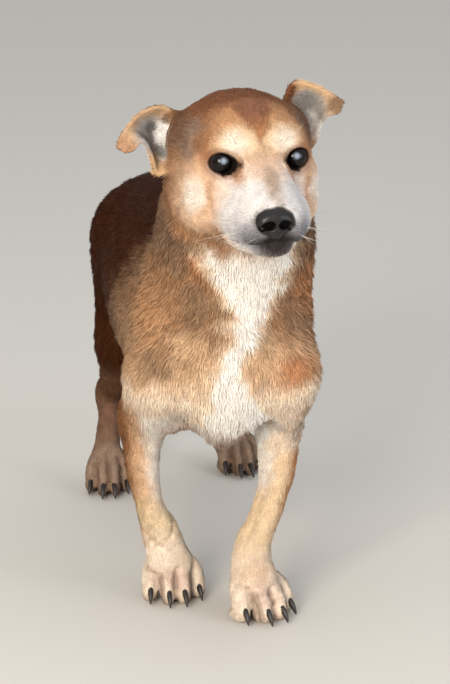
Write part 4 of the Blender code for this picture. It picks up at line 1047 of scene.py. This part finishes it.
def eye_colours(away, turn):
    """A dark eye: brown iris with fine rays, a black rim, and a pale blue spot at the top of the pupil,
    partly the haze of an old lens and partly a painted reflection of the sky."""
    haze_and_reflection = np.hypot(away * np.cos(turn) - 0.17, away * np.sin(turn) - 0.12)
    rays = 0.75 + 0.25 * np.sin(turn * 47) * np.sin(turn * 31 + 1) + 0.2 * np.sin(turn * 13)
    colour = linear("#120906") * rays[:, None]
    for hex_colour, mask in (("#0c0706", ease(away, 0.50, 0.64)), ("#241a18", ease(away, 0.80, 0.95)),
                             ("#0a090b", ease(away, 0.46, 0.38)), ("#b4c3d6", ease(haze_and_reflection, 0.30, 0.04) * 0.6)):
        colour = colour * (1 - mask[:, None]) + linear(hex_colour) * mask[:, None]
    return colour


# a dog's eye under its tear film: smooth and wet, so lamps show in it as small sharp panes
wet_eye, wet_tree, wet_shader = new_material("wet_eye", Roughness=0.12, Specular_IOR_Level=0.05,
                                             Coat_Weight=0.4, Coat_Roughness=0.02)
wet_colour = add_node(wet_tree, "ShaderNodeAttribute", attribute_name="coat")
wet_coords = add_node(wet_tree, "ShaderNodeTexCoord")
wet_cloud = add_node(wet_tree, "ShaderNodeTexNoise", [(wet_coords.outputs["Object"], "Vector")],
                     Scale=420.0, Detail=3.0)
wet_shade = add_node(wet_tree, "ShaderNodeMapRange", [(wet_cloud.outputs["Fac"], "Value")],
                     To_Min=0.75, To_Max=1.25)
wet_tint = add_node(wet_tree, "ShaderNodeVectorMath", [(wet_colour.outputs["Color"], 0),
                                                       (wet_shade.outputs["Result"], 1)],
                    operation="MULTIPLY")
wet_tree.links.new(wet_tint.outputs["Vector"], wet_shader.inputs["Base Color"])
for side, name in ((1, "left"), (-1, "right")):
    shape, away, turn = eyeball(side)
    eye = new_mesh(f"eyeball_{name}", *shape)
    set_colour(eye, eye_colours(away, turn))
    eye.data.materials.append(wet_eye)
    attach(eye, "root")
    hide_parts(f"eye_{name}")


# ---------------------------------------------------------------- nose
# A black pad of bare skin with comma-shaped nostrils and a groove down to the lip. It is made
# of melted masses like the body, on a finer grid, and its skin is pebbled by a bump.

NOSE_FINE = 0.00038
NOSTRIL = [(0.0042, -0.1080, -0.0326, 0.0018, 0.0020), (0.0053, -0.1025, -0.0320, 0.0021, 0.0023),
           (0.0080, -0.1030, -0.0322, 0.0012, 0.0013), (0.0112, -0.1015, -0.0345, 0.0006, 0.0008)]
nose_masses = Masses()
NOSE = HEAD @ Matrix.Translation((-0.0022, 0, -0.0012))
nose_masses.ball(NOSE, (0, -0.0965, -0.0290), (0.0138, 0.0092, 0.0092), 0.001)
nose_masses.ball(NOSE, (0.0078, -0.0985, -0.0310), (0.0064, 0.0070, 0.0078), 0.0025, both=True)
nose_masses.ball(NOSE, (0.0, -0.0985, -0.0370), (0.0062, 0.0062, 0.0066), 0.0030)
nose_masses.ball(NOSE, (0.0, -0.1010, -0.0270), (0.0085, 0.0052, 0.0056), 0.0030)
nose_masses.limb(NOSE, NOSTRIL, 0.0012, both=True, cut=True)
nose_masses.limb(NOSE, [(0, -0.1088, -0.0270, 0.0005, 0.0005), (0, -0.1075, -0.0330, 0.0006, 0.0006),
                        (0, -0.1056, -0.0400, 0.0008, 0.0008)], 0.0010, cut=True)
low, high = (np.array(at(NOSE, (0, -0.0975, -0.0320))) + s * np.array([0.019, 0.016, 0.016]) for s in (-1, 1))
nose_grid = [np.arange(a, b, NOSE_FINE * COARSE) for a, b in zip(low, high)]
nose_field = np.full([len(g) for g in nose_grid], 0.01, np.float32)
for mass in nose_masses:
    add_mass(nose_field, nose_grid, *mass)
nose = new_mesh("nose_pad", *surface(nose_field, nose_grid, 0.002))
nose_points = np.zeros(len(nose.data.vertices) * 3, np.float32)
nose.data.vertices.foreach_get("co", nose_points)
nose_local = local(NOSE, nose_points.reshape(-1, 3))
nose_local[:, 0] = np.abs(nose_local[:, 0])
# painted shade: black inside the nostrils, where they run in from the pad
nostril_depth = path_distance(nose_local, np.array([r[:3] for r in NOSTRIL]))
set_colour(nose, np.tile(ease(nostril_depth, 0.0021, 0.0030)[:, None], (1, 3)))

# damp bare nose skin: a near-black leather in pebbles about 0.8 mm across, glossier on their tops
nose_skin, nose_tree, nose_shader = new_material("damp_nose_leather", Coat_Weight=0.25,
                                                 Coat_Roughness=0.16)
nose_coords = add_node(nose_tree, "ShaderNodeTexCoord")
pebbles = add_node(nose_tree, "ShaderNodeTexVoronoi", [(nose_coords.outputs["Object"], "Vector")],
                   feature="SMOOTH_F1", Scale=1150.0, Smoothness=0.35)
nose_cloud = add_node(nose_tree, "ShaderNodeTexNoise", [(nose_coords.outputs["Object"], "Vector")],
                      Scale=260.0, Detail=4.0)
nose_tone = add_node(nose_tree, "ShaderNodeValToRGB", [(nose_cloud.outputs["Fac"], "Fac")])
for stop, tone, position in zip(nose_tone.color_ramp.elements, ("#0b090a", "#1d1a1c"), (0.30, 0.75)):
    stop.color = (*linear(tone), 1)
    stop.position = position
nose_gloss = add_node(nose_tree, "ShaderNodeMapRange", [(pebbles.outputs["Distance"], "Value")],
                      From_Max=0.6, To_Min=0.34, To_Max=0.62)
nose_relief = add_node(nose_tree, "ShaderNodeBump", [(pebbles.outputs["Distance"], "Height")],
                       Strength=0.8, Distance=0.00035, invert=True)
# the painted nostril shade, which also takes the shine out of the nostrils
nostril_shade = add_node(nose_tree, "ShaderNodeAttribute", attribute_name="coat")
nose_tint = add_node(nose_tree, "ShaderNodeVectorMath", [(nose_tone.outputs["Color"], 0),
                                                         (nostril_shade.outputs["Color"], 1)],
                     operation="MULTIPLY")
nose_wet = add_node(nose_tree, "ShaderNodeMapRange", [(nostril_shade.outputs["Fac"], "Value")], To_Max=0.3)
nose_tree.links.new(nose_wet.outputs["Result"], nose_shader.inputs["Specular IOR Level"])
nose_tree.links.new(nose_tint.outputs["Vector"], nose_shader.inputs["Base Color"])
nose_tree.links.new(nose_gloss.outputs["Result"], nose_shader.inputs["Roughness"])
nose_tree.links.new(nose_relief.outputs["Normal"], nose_shader.inputs["Normal"])
nose.data.materials.append(nose_skin)
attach(nose, "root")
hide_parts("nose")


# ---------------------------------------------------------------- claws
# Four worn black claws on each paw: curved horn, narrower from side to side than it is deep,
# grown out of the toe and blunt at the tip.

CLAW_LENGTH, CLAW_RADIUS = 0.0150, 0.0033


def claw(frame, root, splay):
    """A horn turned outward by `splay` and swept down a curve that falls from 18 to 72 degrees;
    its thickness shrinks as the square root of what is left, with fine rings of growth."""
    t = np.linspace(0, 0.985, 22)
    fall = np.radians(18 + 54 * t)
    step = CLAW_LENGTH * np.diff(t, prepend=0)[:, None] * np.stack([0 * t, -np.cos(fall), -np.sin(fall)], 1)
    line = np.cumsum(step, 0) + (0, 0.0012, 0.0004)
    way, flat, up = across(np.stack([0 * t, -np.cos(fall), -np.sin(fall)], 1))
    thick = CLAW_RADIUS * np.sqrt(1 - t ** 2) * (1 - 0.25 * t) * (1 + 0.02 * np.sin(t * 60))
    turn = np.linspace(0, 2 * math.pi, 14, endpoint=False)[None, :, None]
    rings = line[:, None] + thick[:, None, None] * (flat[:, None] * 0.78 * np.sin(turn)
                                                    + up[:, None] * np.cos(turn))
    m = np.array(frame @ Matrix.Translation(root) @ Matrix.Rotation(math.radians(splay), 4, "Z"))
    points, faces = closed_tube(rings, line[0], line[-1] + way[-1] * 0.0002)
    return points @ m[:3, :3].T + m[:3, 3], faces, np.append(np.repeat(t, 14), (0, 1))


def joined(shapes):
    """Several (points, faces, value) shapes as one."""
    starts = np.cumsum([0] + [len(s[0]) for s in shapes])
    return (np.concatenate([s[0] for s in shapes]),
            np.concatenate([s[1] + n for s, n in zip(shapes, starts)]),
            np.concatenate([s[2] for s in shapes]))


# claw horn: dark and faintly layered, a little shiny where it is worn smooth
horn, horn_tree, horn_shader = new_material("black_claw_horn", Roughness=0.42, IOR=1.54)
horn_colour = add_node(horn_tree, "ShaderNodeAttribute", attribute_name="coat")
horn_coords = add_node(horn_tree, "ShaderNodeTexCoord")
horn_grain = add_node(horn_tree, "ShaderNodeTexNoise", [(horn_coords.outputs["Object"], "Vector")],
                      Scale=900.0, Detail=4.0, Roughness=0.7)
horn_shade = add_node(horn_tree, "ShaderNodeMapRange", [(horn_grain.outputs["Fac"], "Value")],
                      To_Min=0.5, To_Max=1.5)
horn_tint = add_node(horn_tree, "ShaderNodeVectorMath", [(horn_colour.outputs["Color"], 0),
                                                         (horn_shade.outputs["Result"], 1)],
                     operation="MULTIPLY")
horn_relief = add_node(horn_tree, "ShaderNodeBump", [(horn_grain.outputs["Fac"], "Height")],
                       Strength=0.3, Distance=0.0002)
horn_tree.links.new(horn_tint.outputs["Vector"], horn_shader.inputs["Base Color"])
horn_tree.links.new(horn_relief.outputs["Normal"], horn_shader.inputs["Normal"])
for paw, (paw_frame, w, toe_length) in PAWS.items():
    tips = [toe_tip(w, toe_length, toe) for toe in TOES]
    points, faces, t = joined([claw(paw_frame, (tip_x, tip_y - 0.0036, 0.0115), toe * 7)
                               for (tip_x, tip_y), toe in zip(tips, TOES)])
    points[:, 2] = np.maximum(points[:, 2], 0.0006)
    claws = new_mesh(f"claws_{paw}", points, faces)
    worn = t[:, None]
    set_colour(claws, linear("#191514") * (1 - worn) + linear("#352e2a") * worn)
    claws.data.materials.append(horn)
    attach(claws, "root")
    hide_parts(*[f"claw_{paw}_{i + 1}" for i in range(4)])


# ---------------------------------------------------------------- whiskers
# Stiff tapered whiskers of keratin on the muzzle, brows, cheeks and chin, rooted in the skin
# and grey to off-white. Each is a five-sided tube bent back and closed at both ends.

WHISKERS = [
    # place on the left side of the head, way, length in mm
    ((0.0180, -0.0930, -0.0330), (0.90, 0.35, 0.10), 17),
    ((0.0200, -0.0900, -0.0390), (0.90, 0.30, -0.15), 20),
    ((0.0185, -0.0880, -0.0440), (0.90, 0.30, -0.40), 17),
    ((0.0225, -0.0850, -0.0350), (0.90, 0.50, 0.05), 23),
    ((0.0235, -0.0820, -0.0420), (0.90, 0.50, -0.25), 25),
    ((0.0225, -0.0790, -0.0480), (0.80, 0.50, -0.50), 20),
    ((0.0250, -0.0760, -0.0350), (0.90, 0.70, 0.00), 24),
    ((0.0260, -0.0730, -0.0430), (0.90, 0.70, -0.30), 26),
    ((0.0150, -0.0960, -0.0420), (0.80, -0.10, -0.35), 14),
    ((0.0190, -0.0540, 0.0165), (0.35, -0.55, 0.80), 15),
    ((0.0225, -0.0520, 0.0175), (0.55, -0.35, 0.80), 18),
    ((0.0450, -0.0330, -0.0260), (0.90, -0.10, -0.25), 15),
    ((0.0080, -0.0940, -0.0620), (0.35, -0.35, -0.85), 12),
    ((0.0120, -0.0860, -0.0640), (0.50, 0.10, -0.85), 14),
]


def whisker(frame, spot, lean, length):
    """A thin tube along its lean plus a bend times the square of the way along, its radius
    falling evenly to a fine point."""
    root = np.array(skin_tree.find_nearest(frame @ Vector(spot))[0])
    lean = np.array(frame.to_3x3() @ Vector(lean).normalized())
    t = np.linspace(0, 1, 9)[:, None]
    bend = np.array([0.0, 0.35, -0.25])
    line = root + length * (lean * (t - 0.02) + bend * 0.30 * t ** 2)
    _, flat, up = across(lean + bend * 0.60 * t)
    turn = np.linspace(0, 2 * math.pi, 5, endpoint=False)[None, :, None]
    radius = (0.00012 * (1 - t) + 0.00003)[..., None]
    rings = line[:, None] + radius * (flat[:, None] * np.sin(turn) + up[:, None] * np.cos(turn))
    points, faces = closed_tube(rings, line[0], line[-1])
    return points, faces, np.zeros(len(points))


# whisker keratin: smooth, off-white and slightly shiny
bristle, bristle_tree, bristle_shader = new_material("white_whisker_keratin", Roughness=0.35)
bristle_coords = add_node(bristle_tree, "ShaderNodeTexCoord")
bristle_cloud = add_node(bristle_tree, "ShaderNodeTexNoise", [(bristle_coords.outputs["Object"], "Vector")],
                         Scale=90.0)
bristle_tone = add_node(bristle_tree, "ShaderNodeValToRGB", [(bristle_cloud.outputs["Fac"], "Fac")])
for stop, tone, position in zip(bristle_tone.color_ramp.elements, ("#8f857b", "#efe9e0"), (0.38, 0.55)):
    stop.color = (*linear(tone), 1)
    stop.position = position
bristle_tree.links.new(bristle_tone.outputs["Color"], bristle_shader.inputs["Base Color"])
bristles = []
for spot, lean, length_mm in WHISKERS:
    for s in (1, -1):
        strayed = (s * lean[0] + rng.normal(0, 0.06), lean[1] + rng.normal(0, 0.06), lean[2])
        length = length_mm / 1000 * rng.uniform(0.85, 1.1)
        bristles.append(whisker(HEAD, (s * spot[0], spot[1], spot[2]), strayed, length))
points, faces, _ = joined(bristles)
whiskers = new_mesh("whiskers", points, faces)
whiskers.data.materials.append(bristle)
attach(whiskers, "root")


# ---------------------------------------------------------------- floor, light and camera
# A pale matt sheet that rises all round in the distance, two broad soft lights, a weak one
# from above and a pale surround.

def backdrop():
    """A square sheet, flat within 6 m of the dog, then rising as the square of the distance."""
    line = np.linspace(-9, 9, 61)
    x, y = (a.ravel() for a in np.meshgrid(line, line))
    rise = np.minimum(0.35 * np.maximum(np.hypot(x, y) - 6, 0) ** 2, 2.5)
    n = np.arange(line.size ** 2).reshape(line.size, line.size)
    quads = np.stack([n[:-1, :-1], n[:-1, 1:], n[1:, 1:], n[1:, :-1]], -1).reshape(-1, 4)
    return np.stack([x, y, rise], 1), quads


floor = new_mesh("floor", *backdrop())
# matt paper, which shows no sheen at any angle
paper, _, _ = new_material("pale_paper", Base_Color=(*linear("#cfccc6"), 1), Roughness=0.9)
floor.data.materials.append(paper)

CHEST_AT = Vector((0, -0.05, 0.22))
for name, place_at, size, power, tone in (("key", (-0.95, -1.75, 0.90), 0.8, 36, "#fff4e6"),
                                          ("fill", (1.5, -1.4, 0.65), 1.0, 12, "#f2f4ff"),
                                          ("top", (0.2, 0.7, 2.0), 1.5, 4, "#ffffff")):
    lamp = bpy.data.lights.new(name, "AREA")
    lamp.energy = power
    lamp.size = size
    lamp.color = linear(tone)
    holder = bpy.data.objects.new(name, lamp)
    holder.location = place_at
    holder.rotation_euler = (CHEST_AT - Vector(place_at)).to_track_quat("-Z", "Y").to_euler()
    bpy.context.collection.objects.link(holder)
surround = bpy.data.worlds.new("surround")
surround.use_nodes = True
surround.node_tree.nodes["Background"].inputs["Color"].default_value = (*linear("#e4e5e6"), 1)
surround.node_tree.nodes["Background"].inputs["Strength"].default_value = 0.95
bpy.context.scene.world = surround
bpy.context.scene.view_settings.view_transform = "Standard"

lens = bpy.data.cameras.new("camera")
lens.sensor_width = 36
lens.lens = 126.16
lens.clip_end = 50
camera = bpy.data.objects.new("camera", lens)
camera.location = (-0.2881, -1.9017, 0.7246)
aim = Vector((0.0196, -0.0020, 0.1800))
camera.rotation_euler = (aim - camera.location).to_track_quat("-Z", "Y").to_euler()
bpy.context.collection.objects.link(camera)
bpy.context.scene.camera = camera
